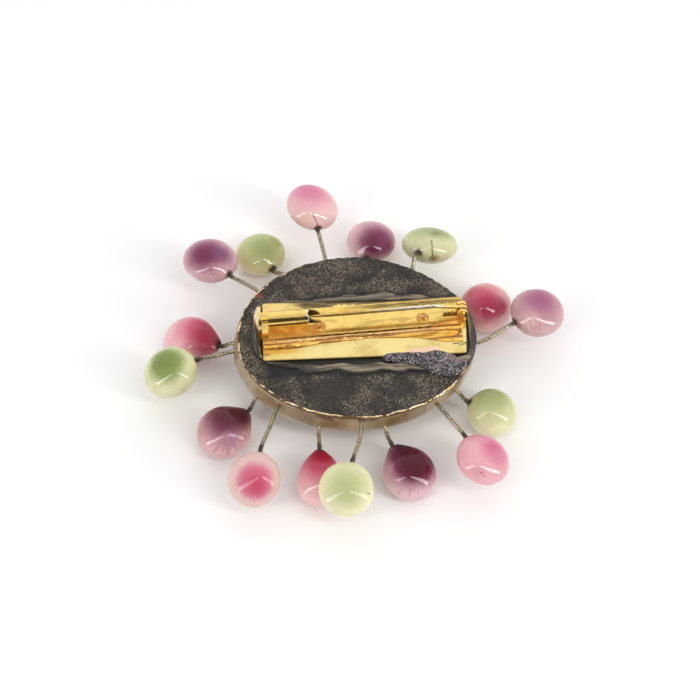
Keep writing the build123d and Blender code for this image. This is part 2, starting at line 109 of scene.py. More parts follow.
def span(value, start, full, less, end):
    """1 from full to less, easing from 0 at start and back to it at end."""
    return fade(value, start, full) * (1 - fade(value, less, end))


def grain(point, size, seed=0.0, octaves=1):
    """Smooth noise from -1 to 1 with features of a size in millimetres."""
    place = point / (size * MM) + Vector((seed * 17.3, seed * 5.1, seed * 9.7))
    if octaves == 1:
        return noise.noise(place)
    return noise.fractal(place, 1.0, 2.0, octaves)


# Finishes


def written(operation, swapped=False):
    """A method that adds one Math node, with its two terms swapped if asked."""

    def apply(self, other):
        return self.sum(operation, *((other, self) if swapped else (self, other)))

    return apply


class Value:
    """A number that changes over a surface. Sums written on it add Math nodes."""

    __add__ = __radd__ = written("ADD")
    __mul__ = __rmul__ = written("MULTIPLY")
    __sub__, __rsub__ = written("SUBTRACT"), written("SUBTRACT", swapped=True)
    __truediv__, __pow__ = written("DIVIDE"), written("POWER")
    least, most = written("MINIMUM"), written("MAXIMUM")

    def __init__(self, nodes, socket):
        self.nodes = nodes
        self.socket = socket

    def sum(self, operation, *terms):
        inputs = dict(enumerate(terms))
        return Value(self.nodes, self.nodes.node("Math", {"operation": operation}, inputs))

    def size(self):
        return self.sum("ABSOLUTE", self)

    def ease(self, start, end):
        """0 before start and 1 after end, easing between."""
        settings = {"interpolation_type": "SMOOTHSTEP"}
        inputs = {"Value": self, "From Min": start, "From Max": end}
        return Value(self.nodes, self.nodes.node("MapRange", settings, inputs))

    def fall(self, start, end):
        """1 before start and 0 after end, easing between."""
        return 1 - self.ease(start, end)

    def span(self, start, full, less, end):
        """1 from full to less, easing from 0 at start and back to it at end."""
        return self.ease(start, full) * self.fall(less, end)


class Nodes:
    """A node tree, with short ways to add to it."""

    def __init__(self, tree, place=None):
        self.tree = tree
        self.place = place

    def fill(self, socket, value):
        """Sets or links a socket."""
        if isinstance(value, Value):
            value = value.socket
        if isinstance(value, bpy.types.NodeSocket):
            self.tree.links.new(value, socket)
        else:
            socket.default_value = value

    def node(self, kind, settings=None, inputs=None, output=0):
        """Adds a node and hands over one of its outputs."""
        made = self.tree.nodes.new("ShaderNode" + kind)
        for setting, value in (settings or {}).items():
            setattr(made, setting, value)
        for socket, value in (inputs or {}).items():
            self.fill(made.inputs[socket], value)
        return made.outputs[output]

    def vector(self, operation, first, second=None, scale=None, output=0):
        given = {0: first, 1: second, "Scale": scale}
        inputs = {socket: value for socket, value in given.items() if value is not None}
        return self.node("VectorMath", {"operation": operation}, inputs, output)

    def dot(self, way, place=None):
        """How far a place reaches in a direction."""
        reach = self.vector("DOT_PRODUCT", place or self.place, tuple(way), output="Value")
        return Value(self, reach)

    def distance(self, centre, place=None):
        """Distance in millimetres from a place."""
        return Value(self, self.vector("DISTANCE", place or self.place, centre, output="Value"))

    def part(self, axis, place=None):
        """One direction of the place."""
        return Value(self, self.node("SeparateXYZ", {}, {0: place or self.place}, axis))

    def mix(self, share, first, second, blend="MIX"):
        """From one colour to another. Three numbers are a colour as it is seen."""
        settings = {"data_type": "RGBA", "blend_type": blend, "clamp_factor": True}
        inputs = {0: share}
        for socket, colour in ((6, first), (7, second)):
            seen = isinstance(colour, tuple) and len(colour) == 3
            inputs[socket] = tone(*colour) if seen else colour
        return self.node("Mix", settings, inputs, 2)


class Finish(Nodes):
    """A material with its shader, and short ways to add what varies over the surface."""

    def __init__(self, name, roughness=0.4, metallic=0.0, **constants):
        self.material = bpy.data.materials.new(name)
        self.material.use_nodes = True
        super().__init__(self.material.node_tree)
        self.shader = self.tree.nodes["Principled BSDF"]
        self.set("Roughness", roughness)
        self.set("Metallic", metallic)
        for socket, value in constants.items():
            self.set(socket.replace("_", " "), value)
        self.place = self.vector("SCALE", self.node("TexCoord", output="Object"), scale=1 / MM)
        self.colour = None
        self.height = None

    def set(self, socket, value):
        """Sets or links one of the shader's sockets."""
        self.fill(self.shader.inputs[socket], value)

    def base(self, share, first, second):
        """The colour under all others, from one to another."""
        self.colour = self.mix(share, first, second)
        self.set("Base Color", self.colour)

    def paint(self, share, over, blend="MIX"):
        """Lays a colour over those so far."""
        self.colour = self.mix(share, self.colour, over, blend)
        self.set("Base Color", self.colour)

    def noise(self, size, detail=2.0, place=None, roughness=0.5, warp=0.0):
        """Noise from 0 to 1 with features of a size in millimetres."""
        inputs = {
            "Vector": place or self.place,
            "Scale": 1 / size,
            "Detail": detail,
            "Roughness": roughness,
            "Distortion": warp,
        }
        return Value(self, self.node("TexNoise", {}, inputs, "Fac"))

    def cells(self, size):
        """The distance from the middle of the nearest cell, for cells of a size in millimetres."""
        inputs = {"Vector": self.place, "Scale": 1 / size}
        return Value(self, self.node("TexVoronoi", {}, inputs, "Distance"))

    def grains(self, size):
        """Two numbers that change from grain to grain, for grains of a size in millimetres."""
        inputs = {"Vector": self.place, "Scale": 1 / size}
        cell = self.node("TexVoronoi", {}, inputs, "Color")
        hues = ("Red", "Green")
        return [Value(self, self.node("SeparateColor", {}, {0: cell}, hue)) for hue in hues]

    def stretched(self, along, across, up, turn=0.0):
        """The place pulled out by a share in each direction, turned to the bar's own if asked."""
        inputs = {"Vector": self.place, "Rotation": (0, 0, -turn)}
        turned = self.node("Mapping", {"vector_type": "POINT"}, inputs)
        return self.vector("MULTIPLY", turned, (1 / along, 1 / across, 1 / up))

    def drawn(self, size, detail, along, across=1, warp=0.0):
        """Noise drawn out in the bar's directions by a share."""
        return self.noise(size, detail, self.stretched(along, across, 1, BAR_TURN), warp=warp)

    def bar_directions(self):
        """The place in the bar's own directions: along, side and height."""
        offset = self.vector("SUBTRACT", self.place, tuple(BAR_MIDDLE / MM))
        inputs = {"Vector": offset, "Rotation": (0, 0, -BAR_TURN)}
        turned = self.node("Mapping", {"vector_type": "POINT"}, inputs)
        return [self.part(axis, turned) for axis in "XYZ"]

    def wobble(self, size, reach):
        """The place pushed about by soft noise, so that edges of patches are uneven."""
        inputs = {"Vector": self.place, "Scale": 1 / size, "Detail": 2.0}
        cloud = self.node("TexNoise", {}, inputs, "Color")
        centred = self.vector("SUBTRACT", cloud, (0.5, 0.5, 0.5))
        return self.vector("ADD", self.place, self.vector("SCALE", centred, scale=reach * 2))

    def line(self, start, end, width, place=None):
        """1 on a straight line between two places, fading within its width."""
        run = Vector(end) - Vector(start)
        offset = self.vector("SUBTRACT", place or self.place, start)
        share = (self.dot(run, offset) / run.length_squared).most(0.0).least(1.0)
        nearest = self.vector("SCALE", tuple(run), scale=share)
        return self.distance(nearest, offset).fall(0.0, width)

    def arc(self, middle, start, end, width, place):
        """1 on the shortest way over a round form between two places, fading within its width."""
        first, last = ((Vector(point) - middle).normalized() for point in (start, end))
        halfway = (first + last).normalized()
        half = math.acos(min(1.0, halfway.dot(first)))
        offset = self.vector("SUBTRACT", place, tuple(middle))
        beside = self.dot(first.cross(last).normalized(), offset).size()
        ahead = self.dot(halfway, self.vector("NORMALIZE", offset))
        return beside.fall(0.0, width) * ahead.ease(math.cos(half + 0.04), math.cos(half))

    def bump(self, height, depth):
        """Lays fine relief over the surface, its depth in millimetres."""
        inputs = {"Height": height, "Distance": depth * MM, "Strength": 1.0}
        if self.height is not None:
            inputs["Normal"] = self.height
        self.height = self.node("Bump", {}, inputs)
        self.set("Normal", self.height)


# Making pieces


def put(name, data):
    """Puts a mesh, lamp or camera into the scene."""
    thing = bpy.data.objects.new(name, data)
    bpy.context.scene.collection.objects.link(thing)
    return thing


def mesh_of(name, bm):
    """Ends the work on a shape."""
    mesh = bpy.data.meshes.new(name)
    bm.to_mesh(mesh)
    bm.free()
    return mesh


def add_piece(name, bm, finish, stands_for=()):
    """Turns a finished shape into a piece that moves with the brooch's body."""
    mesh = mesh_of(name, bm)
    mesh.shade_smooth()
    mesh.materials.append(finish.material)
    piece = put(name, mesh)
    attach(piece, "body")
    if stands_for:
        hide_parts(*stands_for)
    return piece


def turned_round(bm, row, edges, steps):
    """Turns a row of points once round the upright axis."""
    bmesh.ops.spin(
        bm, geom=row + edges, cent=(0, 0, 0), axis=UP, angle=math.tau, steps=steps, use_merge=True
    )
    bmesh.ops.remove_doubles(bm, verts=bm.verts, dist=SAME_PLACE)
    bmesh.ops.recalc_face_normals(bm, faces=bm.faces)
    return bm


def spun(profile, steps):
    """A closed round shape from its half section: distances from the axis and heights."""
    bm = bmesh.new()
    row = [bm.verts.new((across, 0, up)) for across, up in profile]
    edges = [bm.edges.new(pair) for pair in zip(row, row[1:])]
    return turned_round(bm, row, edges, steps)


def over_oval(place):
    """A point of the flat oval from shares of its half size."""
    return Vector((place.x * BACK_HALF.x, place.y * BACK_HALF.y, 0))


def bearing_of(place):
    """The bearing on the oval of a point that is given in shares of its half size."""
    return math.atan2(place.y * BACK_HALF.y, place.x * BACK_HALF.x)


def tree_of(node):
    """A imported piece's own surface, to be felt with rays."""
    bm = bmesh.new()
    bm.from_mesh(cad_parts[node].data)
    tree = BVHTree.FromBMesh(bm)
    bm.free()
    return tree


def remeshed(node, voxel):
    """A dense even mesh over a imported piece's own shape."""
    bm = bmesh.new()
    bm.from_mesh(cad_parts[node].data)
    bmesh.ops.remove_doubles(bm, verts=bm.verts, dist=SAME_PLACE)
    skin = put(node + "_skin", mesh_of(node + "_skin", bm))
    modifier = skin.modifiers.new("remesh", "REMESH")
    modifier.mode = "VOXEL"
    modifier.voxel_size = voxel * MM
    shown = skin.evaluated_get(bpy.context.evaluated_depsgraph_get())
    bm = bmesh.new()
    bm.from_mesh(shown.to_mesh())
    bpy.data.objects.remove(skin)
    return bm


def smooth(bm, times, verts=None):
    """Evens out a shape, or some of its points."""
    for _ in range(times):
        bmesh.ops.smooth_vert(
            bm, verts=verts or bm.verts, factor=0.5,
            use_axis_x=True, use_axis_y=True, use_axis_z=True,
        )


# The oval body, with its uneven edge


def edge_wear(bearing):
    """How far the oval's edge is worn in at a bearing, as a share of its reach."""
    place = Vector((math.cos(bearing), math.sin(bearing), 0))
    wear = 0.003 * noise.noise(place * 4) + 0.0022 * noise.noise(place * 14)
    degrees = math.degrees(bearing)
    flat = span(degrees, 12, 38, 56, 86)
    return 1 + wear - 0.028 * flat


# The body's section: each ring's depth, spread and lean as shares of its whole
Ring = namedtuple("Ring", "down spread lean")
BODY_RINGS = [
    Ring(0.0, 1.0, 0.0),
    Ring(0.13, 1.012, 0.15),
    Ring(0.28, 1.016, 0.3),
    Ring(0.46, 0.98, 0.5),
    Ring(0.64, 0.885, 0.68),
    Ring(0.8, 0.74, 0.82),
    Ring(0.92, 0.53, 0.94),
    Ring(1.0, 0.28, 1.0),
]
BODY_LEAN = 1.7


def between(rings, down):
    """The body's spread and lean at a share of its depth."""
    above, under = next(pair for pair in zip(rings, rings[1:]) if pair[1].down >= down - 1e-6)
    share = (down - above.down) / (under.down - above.down)
    return (
        above.spread + (under.spread - above.spread) * share,
        above.lean + (under.lean - above.lean) * share,
    )


def make_body(finish):
    """The cast body, leaning a little, with its uneven edge."""
    low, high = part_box("oval_body")
    depth = high.z - low.z
    rows = 34
    wall = [(between(BODY_RINGS, row / rows)[0], -row / rows) for row in range(rows + 1)]
    bm = spun([(0, 0), (0.6, 0), (0.9, 0)] + wall + [(0.14, -1), (0, -1)], steps=256)
    for vert in bm.verts:
        down = min(1, -vert.co.z)
        lean = between(BODY_RINGS, down)[1] * BODY_LEAN * MM
        worn = 1 + (edge_wear(bearing_of(vert.co)) - 1) * (1 - fade(down, 0, 0.7))
        vert.co = Vector((
            BACK_MIDDLE.x + vert.co.x * BACK_HALF.x * worn - lean,
            BACK_MIDDLE.y + vert.co.y * BACK_HALF.y * worn,
            high.z - depth * down,
        ))
    smooth(bm, 3, [v for v in bm.verts if v.co.z < high.z - 0.2 * MM])
    for vert in bm.verts:
        outwards = (vert.co - BACK_MIDDLE).normalized()
        outwards.z = 0
        vert.co += outwards * grain(vert.co, 5, 1) * 0.07 * MM
    return add_piece("oval_body_cast", bm, finish, ["oval_body"])


def make_back(finish):
    """The rough charcoal layer, crumbly at its edge."""
    thick = (BACK_TOP - BACK_BOTTOM) / MM
    hub, face, rings = 0.34, 0.99, 74
    inner = [(0.0, 0), (0.12, 0), (0.2, 0), (0.28, 0), (hub, 0)]
    outer = [(hub + (face - hub) * ring / rings, 0) for ring in range(1, rings + 1)]
    edge = [(0.997, -0.08), (1.0, -0.22), (1.0, -0.45), (0.998, -thick), (0.5, -thick), (0, -thick)]
    bm = spun(inner + outer + edge, steps=420)
    for vert in bm.verts:
        across = math.hypot(vert.co.x, vert.co.y)
        degrees = math.degrees(bearing_of(vert.co))
        down = vert.co.z
        flat = over_oval(vert.co)
        bare = span(degrees, -24, 0, 104, 122)
        ragged = 1 + (0.004 + 0.006 * bare) * grain(flat, 0.9, 2, 3) - 0.003
        share = edge_wear(bearing_of(vert.co)) * (1 + (ragged - 1) * fade(across, 0.9, 1.0))
        place = Vector((BACK_MIDDLE.x, BACK_MIDDLE.y, 0)) + flat * share
        lift = 0.0
        if down > -0.3:
            lift = 0.045 * grain(place, 0.7, 3, 4) + 0.05 * grain(place, 3.2, 4, 2)
            lift -= 0.09 * fade(grain(place, 1.3, 5), 0.45, 0.7)
            lift -= 0.12 * fade(across, 0.985, 1.0)
            lift = min(lift, 0.06)
        vert.co = Vector((place.x, place.y, BACK_TOP + (down + lift) * MM))
    return add_piece("charcoal_back_rough", bm, finish, ["back_layer"])


def make_rim(finish):
    """The thin worn line of gold leaf round the back's edge."""
    sides, wide, tall = 8, 0.17 * MM, 0.16 * MM
    turns = [math.tau * step / sides for step in range(sides)]
    bm = bmesh.new()
    row = [bm.verts.new((wide * math.cos(turn), 0, tall * math.sin(turn))) for turn in turns]
    edges = [bm.edges.new((row[place - 1], row[place])) for place in range(sides)]
    for vert in row:
        vert.co.x += 1
    turned_round(bm, row, edges, steps=480)
    for vert in bm.verts:
        flat = Vector((vert.co.x, vert.co.y, 0))
        reach = flat.length
        flat.normalize()
        outline = over_oval(flat) * edge_wear(bearing_of(flat))
        outwards = Vector((flat.x / BACK_HALF.x, flat.y / BACK_HALF.y, 0)).normalized()
        degrees = math.degrees(bearing_of(flat))
        bright = span(degrees, -178, -160, -42, -25)
        bare = span(degrees, -24, -8, 104, 122)
        ragged = grain(outline, 1.3, 6, 2)
        slow = grain(outline, 3.6, 22, 2)
        inwards = 0.12 + 0.12 * ragged + 0.14 * slow + 0.1 * (1 - bright) + 0.3 * bare
        place = outline + outwards * ((reach - 1) - inwards * MM)
        rise = -0.05 + 0.08 * ragged + 0.12 * slow - 0.08 * (1 - bright) - 0.4 * bare
        vert.co = Vector((
            BACK_MIDDLE.x + place.x, BACK_MIDDLE.y + place.y, BACK_TOP + rise * MM + vert.co.z
        ))
    return add_piece("gold_rim_leaf", bm, finish)


# The putty bed


# Where the bed ends, in the bar's own directions
BED_OUTLINE = [
    (-19.0, 0.0), (-18.7, 2.6), (-18.0, 5.4), (-16.8, 7.3), (-13.5, 7.2), (-8.2, 6.9), (-3.7, 7.4),
    (1.1, 7.5), (6.6, 7.0), (12.0, 5.9), (16.0, 5.1), (18.3, 3.6), (19.0, 0.8), (19.3, -1.8),
    (19.0, -4.8), (18.1, -7.4), (15.0, -8.7), (11.6, -8.9), (7.0, -8.6), (2.3, -8.2), (-4.4, -7.5),
    (-11.1, -6.7), (-14.0, -6.0), (-16.8, -5.0), (-18.5, -2.7),
]


def make_bed(finish):
    """Putty with a crevice round the sheet, darkened there by painted shade, and a pressed-up ridge
    outside it.
    """
    sheet = tree_of("backing_sheet")
    centre, _ = middle_of("backing_sheet")
    middle = Vector((centre.x, centre.y, 0))
    corners = []
    for along, side in BED_OUTLINE:
        offset = on_bar(along, side) - middle
        corners.append((math.atan2(offset.y, offset.x) % math.tau, math.hypot(offset.x, offset.y)))
    corners.sort()
    first, last = corners[0], corners[-1]
    corners = [(last[0] - math.tau, last[1])] + corners + [(first[0] + math.tau, first[1])]
    steps, rings, beyond = 480, 30, 30 * MM

    def rim_at(turn):
        before, after = next(pair for pair in zip(corners, corners[1:]) if pair[1][0] >= turn)
        return before[1] + (after[1] - before[1]) * fade(turn, before[0], after[0])

    def felt(turn):
        out = Vector((math.cos(turn), math.sin(turn), 0))
        hit = sheet.ray_cast(centre + out * beyond, -out)[0]
        return math.hypot(hit.x - middle.x, hit.y - middle.y)

    turns = [math.tau * step / steps for step in range(steps)]
    outer = [rim_at(turn) for turn in turns]
    for _ in range(12):
        outer = [(outer[i - 1] + outer[i] * 2 + outer[(i + 1) % steps]) / 4 for i in range(steps)]
    inner = [felt(turn) for turn in turns]
    rows = [(0.0, 0), (0.5, 0), (0.9, 0)] + [(1 + ring / rings, 0) for ring in range(rings + 1)]
    bm = spun(rows + [(2.0, -1), (1.0, -1), (0.0, -1)], steps)
    for vert in bm.verts:
        place = math.hypot(vert.co.x, vert.co.y)
        turn = math.atan2(vert.co.y, vert.co.x) % math.tau
        step = round(turn / math.tau * steps) % steps
        out = Vector((math.cos(turn), math.sin(turn), 0))
        near, far = inner[step] - 0.3 * MM, outer[step]
        part = max(0.0, place - 1)
        flat = middle + out * (near * min(place, 1.0) + (far - near) * part)
        _, side, _ = bar_place(flat)
        wide = (far - near) / MM
        gap = 0.25 + 0.12 * fade(-side, 2.0, 5.0)
        ridge = span(part, gap, gap + 0.16, 0.82, 1.0)
        rise = 0.06 + 0.46 * ridge * (0.85 + 0.3 * grain(flat, 4, 8))
        rise += ridge * (0.05 * grain(flat, 0.8, 9, 2) + 0.05 * grain(flat, 2.5, 21, 2))
        furrow = math.sin(part * wide * 6.0 + 2.5 * grain(flat, 6, 10))
        rise += 0.05 * ridge * furrow * fade(wide, 0.9, 1.8)
        flat += out * (0.08 * grain(flat, 1.6, 11, 2) * fade(part, 0.5, 1.0)) * MM
        if vert.co.z < -0.5 or place < 1:
            rise = 0.03 if vert.co.z < -0.5 else 0.12
        vert.co = Vector((flat.x, flat.y, BACK_TOP + rise * MM))
    return add_piece("putty_bed_pressed", bm, finish, ["clay_bed"])


# Glue and grit


def make_seam(finish):
    """The amber seam of epoxy, rippled along its length."""
    bm = remeshed("glue_seam", 0.13)
    smooth(bm, 2)
    for vert in bm.verts:
        along, side, height = bar_place(vert.co)
        if height > 0.72:
            crease = math.sin(side * 5.2 + 1.4 * noise.noise(Vector((along * 0.13, 3, 0))))
            rise = 0.05 * crease + 0.06 * grain(vert.co, 1.4, 12, 2)
            vert.co.z += rise * MM
        vert.co += BAR_ACROSS * (0.12 * grain(vert.co, 2.2, 13, 2) * MM)
    return add_piece("amber_seam", bm, finish, ["glue_seam"])


def make_dome(side, finish):
    """Glue standing up in a hole of the bar."""
    node = "glue_plug_" + side
    bm = remeshed(node, 0.09)
    smooth(bm, 2)
    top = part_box(node)[1].z
    for vert in bm.verts:
        lift = fade(vert.co.z, top - 0.4 * MM, top)
        vert.co.z += lift * grain(vert.co, 0.7, 14, 2) * 0.07 * MM
    return add_piece("glue_dome_" + side, bm, finish, [node])


def make_grit(finish):
    """A crust of small crystals, moved over the solid to where it shows and within the back."""
    bm = remeshed("grit_patch", 0.14)
    inset, crystals = 0.965, 1500
    for vert in bm.verts:
        along, side, height = bar_place(vert.co)
        if height > 0.7:
            height += 0.1 * grain(vert.co, 0.5, 15, 3)
        spread = fade(along, 4, 11)
        outer = fade(-side, 4.6, 8.6)
        lowered = 0.8 + (0.9 - 0.5 * fade(along, 14.5, 17.5)) * outer * fade(along, 9, 12)
        side -= spread * lowered - 0.2 * grain(vert.co, 1.6, 31, 2) * spread
        along += 0.25 * fade(along, 15.5, 18)
        flat = on_bar(along, side) - BACK_MIDDLE
        out = math.hypot(flat.x / BACK_HALF.x, flat.y / BACK_HALF.y)
        if out > inset:
            flat *= (inset + 0.025 * fade(out, inset, 1.06)) / out
            along, side, _ = bar_place(BACK_MIDDLE + flat)
        if side < -5.66 - LOW_SLOPE * along and height < 0.85:
            height = 0.04 + (height - 0.55) * 2.7
        vert.co = on_bar(along, side, max(0.04, height))
    bm.normal_update()
    tops = [f for f in bm.faces if f.normal.z > 0.3]
    draw = random.Random(7)
    seats = [draw.choice(tops).calc_center_median() for _ in range(crystals)]
    for seat in seats:
        size = draw.uniform(0.07, 0.17) * MM
        angle = draw.uniform(0, math.tau)
        x, y, z = (draw.uniform(-1, 1) for _ in range(3))
        turn = Matrix.Rotation(angle, 4, Vector((x, y, z + 0.01)))
        lie = Matrix.Translation(seat + UP * size * draw.uniform(-0.1, 0.5))
        shape = Matrix.Diagonal((1, draw.uniform(0.6, 1), draw.uniform(0.5, 0.9), 1))
        bmesh.ops.create_icosphere(bm, subdivisions=1, radius=size, matrix=lie @ turn @ shape)
    piece = add_piece("grit_crust", bm, finish, ["grit_patch"])
    piece.data.shade_flat()
    return piece


# Drops


# Each drop's colours: that of its rim, how far its neck is burnt, its clouds and its lines. Places
# are shares of its half size, sizes and widths are millimetres. A firm cloud has a sharp edge, and
# the shoulder is how far a drop is filled out beside its neck.
Cloud = namedtuple("Cloud", "across away up size colour strength firm", defaults=[1.0, 0.15])
Line = namedtuple("Line", "start end width colour")
Look = namedtuple("Look", "node rim neck clouds lines shoulder", defaults=[0.12])
BURNT = (46, 27, 16)

LOOKS = [
    Look("drop_01_pink", (243, 202, 199), 0.8, [
        Cloud(-0.05, 0.35, 1.0, 5.4, (219, 138, 164)),
        Cloud(-0.05, 0.5, 0.95, 3.2, (213, 126, 153), 0.9),
        Cloud(-0.2, -0.8, 0.5, 2.6, (243, 203, 190), 0.7),
    ], [
        Line((0.28, -0.97, 0.2), (0.03, -0.6, 0.78), 0.2, (148, 23, 59)),
        Line((-0.8, -0.54, 0.31), (-0.76, -0.62, 0.2), 0.2, (128, 87, 59)),
    ]),
    Look("drop_02_purple", (238, 200, 198), 0.9, [
        Cloud(0.3, -0.2, 0.95, 5.6, (150, 78, 115)),
        Cloud(0.15, -0.5, 0.9, 4.2, (109, 44, 70)),
        Cloud(0.6, -0.5, 0.7, 2.4, (143, 66, 104), 0.7),
    ], []),
    Look("drop_03_green", (216, 215, 168), 0.75, [
        Cloud(-0.35, 0.45, 0.85, 3.9, (171, 183, 124)),
        Cloud(0.4, 0.45, 0.85, 4.0, (134, 150, 78)),
        Cloud(0.2, 0.05, 0.95, 1.6, (136, 134, 85), 0.7),
        Cloud(0.1, -1.0, 0.5, 1.3, (131, 98, 61), 0.9),
    ], [
        Line((0.03, -0.4, 0.95), (0.06, -0.95, 0.5), 0.26, (101, 102, 48)),
    ]),
    Look("drop_04_pink", (236, 184, 182), 0.6, [
        Cloud(-0.1, -0.3, 0.92, 5.2, (196, 74, 109)),
        Cloud(-0.4, 0.15, 0.88, 2.6, (202, 89, 105), 0.7),
        Cloud(0.15, -0.5, 0.85, 3.3, (174, 53, 84), 0.9),
        Cloud(0.6, -0.3, 0.75, 1.8, (176, 64, 96), 0.8),
    ], []),
    Look("drop_05_purple", (206, 165, 167), 0.8, [
        Cloud(0.1, 0.15, 1.0, 5.0, (174, 110, 137)),
        Cloud(0.08, 0.2, 0.98, 3.0, (162, 94, 129), 0.9),
        Cloud(-0.3, -0.75, 0.6, 2.4, (225, 191, 186), 0.8),
        Cloud(-0.85, -0.66, 0.2, 1.4, (150, 97, 67), 0.9),
    ], [
        Line((-0.34, -0.66, 0.72), (-0.25, -0.9, 0.4), 0.16, (200, 123, 139)),
        Line((-0.12, -0.7, 0.72), (-0.1, -0.9, 0.45), 0.16, (202, 118, 133)),
        Line((0.02, -0.76, 0.66), (0.08, -0.97, 0.25), 0.16, (202, 123, 139)),
        Line((-0.5, -0.66, 0.56), (-0.42, -0.85, 0.3), 0.14, (202, 125, 139)),
        Line((-0.2, -0.86, 0.5), (-0.14, -0.97, 0.2), 0.18, (200, 118, 133)),
    ]),
    Look("drop_06_green", (228, 228, 179), 0.9, [
        Cloud(0.0, 0.3, 1.0, 6.2, (186, 190, 136)),
        Cloud(0.05, 0.5, 0.9, 4.2, (152, 161, 106), 0.9),
    ], []),
    Look("drop_07_pink", (234, 173, 181), 0.8, [
        Cloud(0.45, 0.25, 0.8, 3.7, (203, 102, 136), 0.95),
        Cloud(0.65, -0.2, 0.65, 2.4, (208, 132, 154), 0.8),
        Cloud(-0.2, 0.75, 0.7, 2.8, (217, 146, 164), 0.7),
    ], [
        Line((-0.12, -0.75, 0.64), (-0.04, -0.8, 0.6), 0.2, (197, 56, 85)),
        Line((0.0, -0.86, 0.5), (0.02, -0.88, 0.48), 0.16, (182, 47, 75)),
    ]),
    Look("drop_08_purple", (229, 188, 194), 0.7, [
        Cloud(0.15, 0.2, 0.98, 6.2, (124, 52, 84), 1.0, 0.5),
        Cloud(-0.1, 0.7, 0.8, 4.6, (86, 40, 56)),
        Cloud(0.2, 0.0, 1.0, 3.9, (82, 13, 34), 1.0, 0.4),
        Cloud(-0.85, -0.1, 0.6, 2.0, (208, 156, 166), 0.7),
    ], [
        Line((0.0, -0.92, 0.35), (-0.03, -0.98, 0.05), 0.16, (186, 112, 139)),
        Line((-0.34, -0.84, 0.35), (-0.42, -0.9, 0.1), 0.2, (194, 125, 150)),
        Line((0.3, -0.88, 0.3), (0.33, -0.92, 0.1), 0.16, (190, 121, 146)),
    ]),
    Look("drop_09_green", (241, 236, 193), 0.6, [
        Cloud(0.0, -0.2, 0.94, 5.2, (196, 201, 149), 1.0, 0.3),
        Cloud(0.05, -0.3, 0.9, 2.8, (184, 190, 136), 0.8),
    ], [
        Line((0.76, -0.33, 0.48), (0.86, -0.33, 0.3), 0.16, (111, 85, 58)),
    ]),
    Look("drop_10_pink", (252, 203, 203), 0.8, [
        Cloud(-0.05, 0.2, 0.95, 5.0, (205, 86, 114)),
        Cloud(0.14, 0.65, 0.78, 4.4, (164, 32, 57)),
    ], [
        Line((0.16, -0.52, 0.85), (0.17, -0.54, 0.84), 0.2, (95, 29, 39)),
    ], 0.35),
    Look("drop_11_pink", (229, 194, 185), 0.8, [
        Cloud(0.04, -0.46, 0.8, 4.0, (213, 118, 145), 1.0, 0.55),
        Cloud(0.08, -0.5, 0.78, 2.9, (199, 81, 105), 0.9),
    ], []),
    Look("drop_12_purple", (220, 176, 177), 0.7, [
        Cloud(0.1, 0.25, 0.98, 6.3, (131, 62, 94)),
        Cloud(0.1, 0.4, 0.93, 4.6, (91, 25, 44)),
        Cloud(0.65, 0.45, 0.75, 3.4, (79, 30, 39)),
        Cloud(0.2, -0.62, 0.75, 2.0, (175, 129, 149), 0.8),
    ], [
        Line((0.22, -0.45, 0.85), (0.15, -0.97, 0.0), 0.5, (184, 133, 154)),
        Line((0.26, -0.5, 0.82), (0.5, -0.84, 0.1), 0.3, (178, 123, 146)),
        Line((0.1, -0.5, 0.85), (-0.35, -0.9, 0.1), 0.4, (189, 138, 156)),
        Line((0.1, -0.8, 0.6), (-0.1, -0.96, 0.0), 0.16, (177, 122, 144)),
    ]),
    Look("drop_13_green", (221, 221, 173), 0.8, [
        Cloud(-0.17, -0.06, 0.97, 4.2, (142, 159, 91), 1.0, 0.5),
        Cloud(-0.22, 0.05, 0.95, 3.2, (118, 137, 72), 0.9),
    ], []),
    Look("drop_14_pink", (235, 190, 191), 0.9, [
        Cloud(0.25, 0.15, 0.9, 6.0, (215, 105, 131)),
        Cloud(0.5, -0.25, 0.8, 4.8, (161, 38, 64)),
        Cloud(0.95, -0.4, 0.6, 2.2, (104, 40, 44), 0.8),
    ], []),
    Look("drop_15_purple", (217, 174, 181), 0.8, [
        Cloud(-0.05, -0.02, 1.0, 5.4, (145, 77, 112)),
        Cloud(-0.18, -0.15, 0.98, 3.9, (117, 43, 77)),
        Cloud(0.45, -0.1, 0.88, 2.6, (121, 63, 101), 0.7),
    ], [
        Line((0.16, -0.86, 0.6), (0.17, -0.87, 0.59), 0.24, (81, 42, 42)),
    ]),
    Look("drop_16_green", (225, 216, 158), 0.9, [
        Cloud(0.1, 0.3, 0.95, 6.2, (185, 195, 135)),
        Cloud(0.2, -0.2, 0.9, 3.6, (143, 156, 91), 0.8),
        Cloud(0.61, 0.32, 0.74, 1.5, (161, 166, 98), 0.9, 0.5),
    ], []),
]


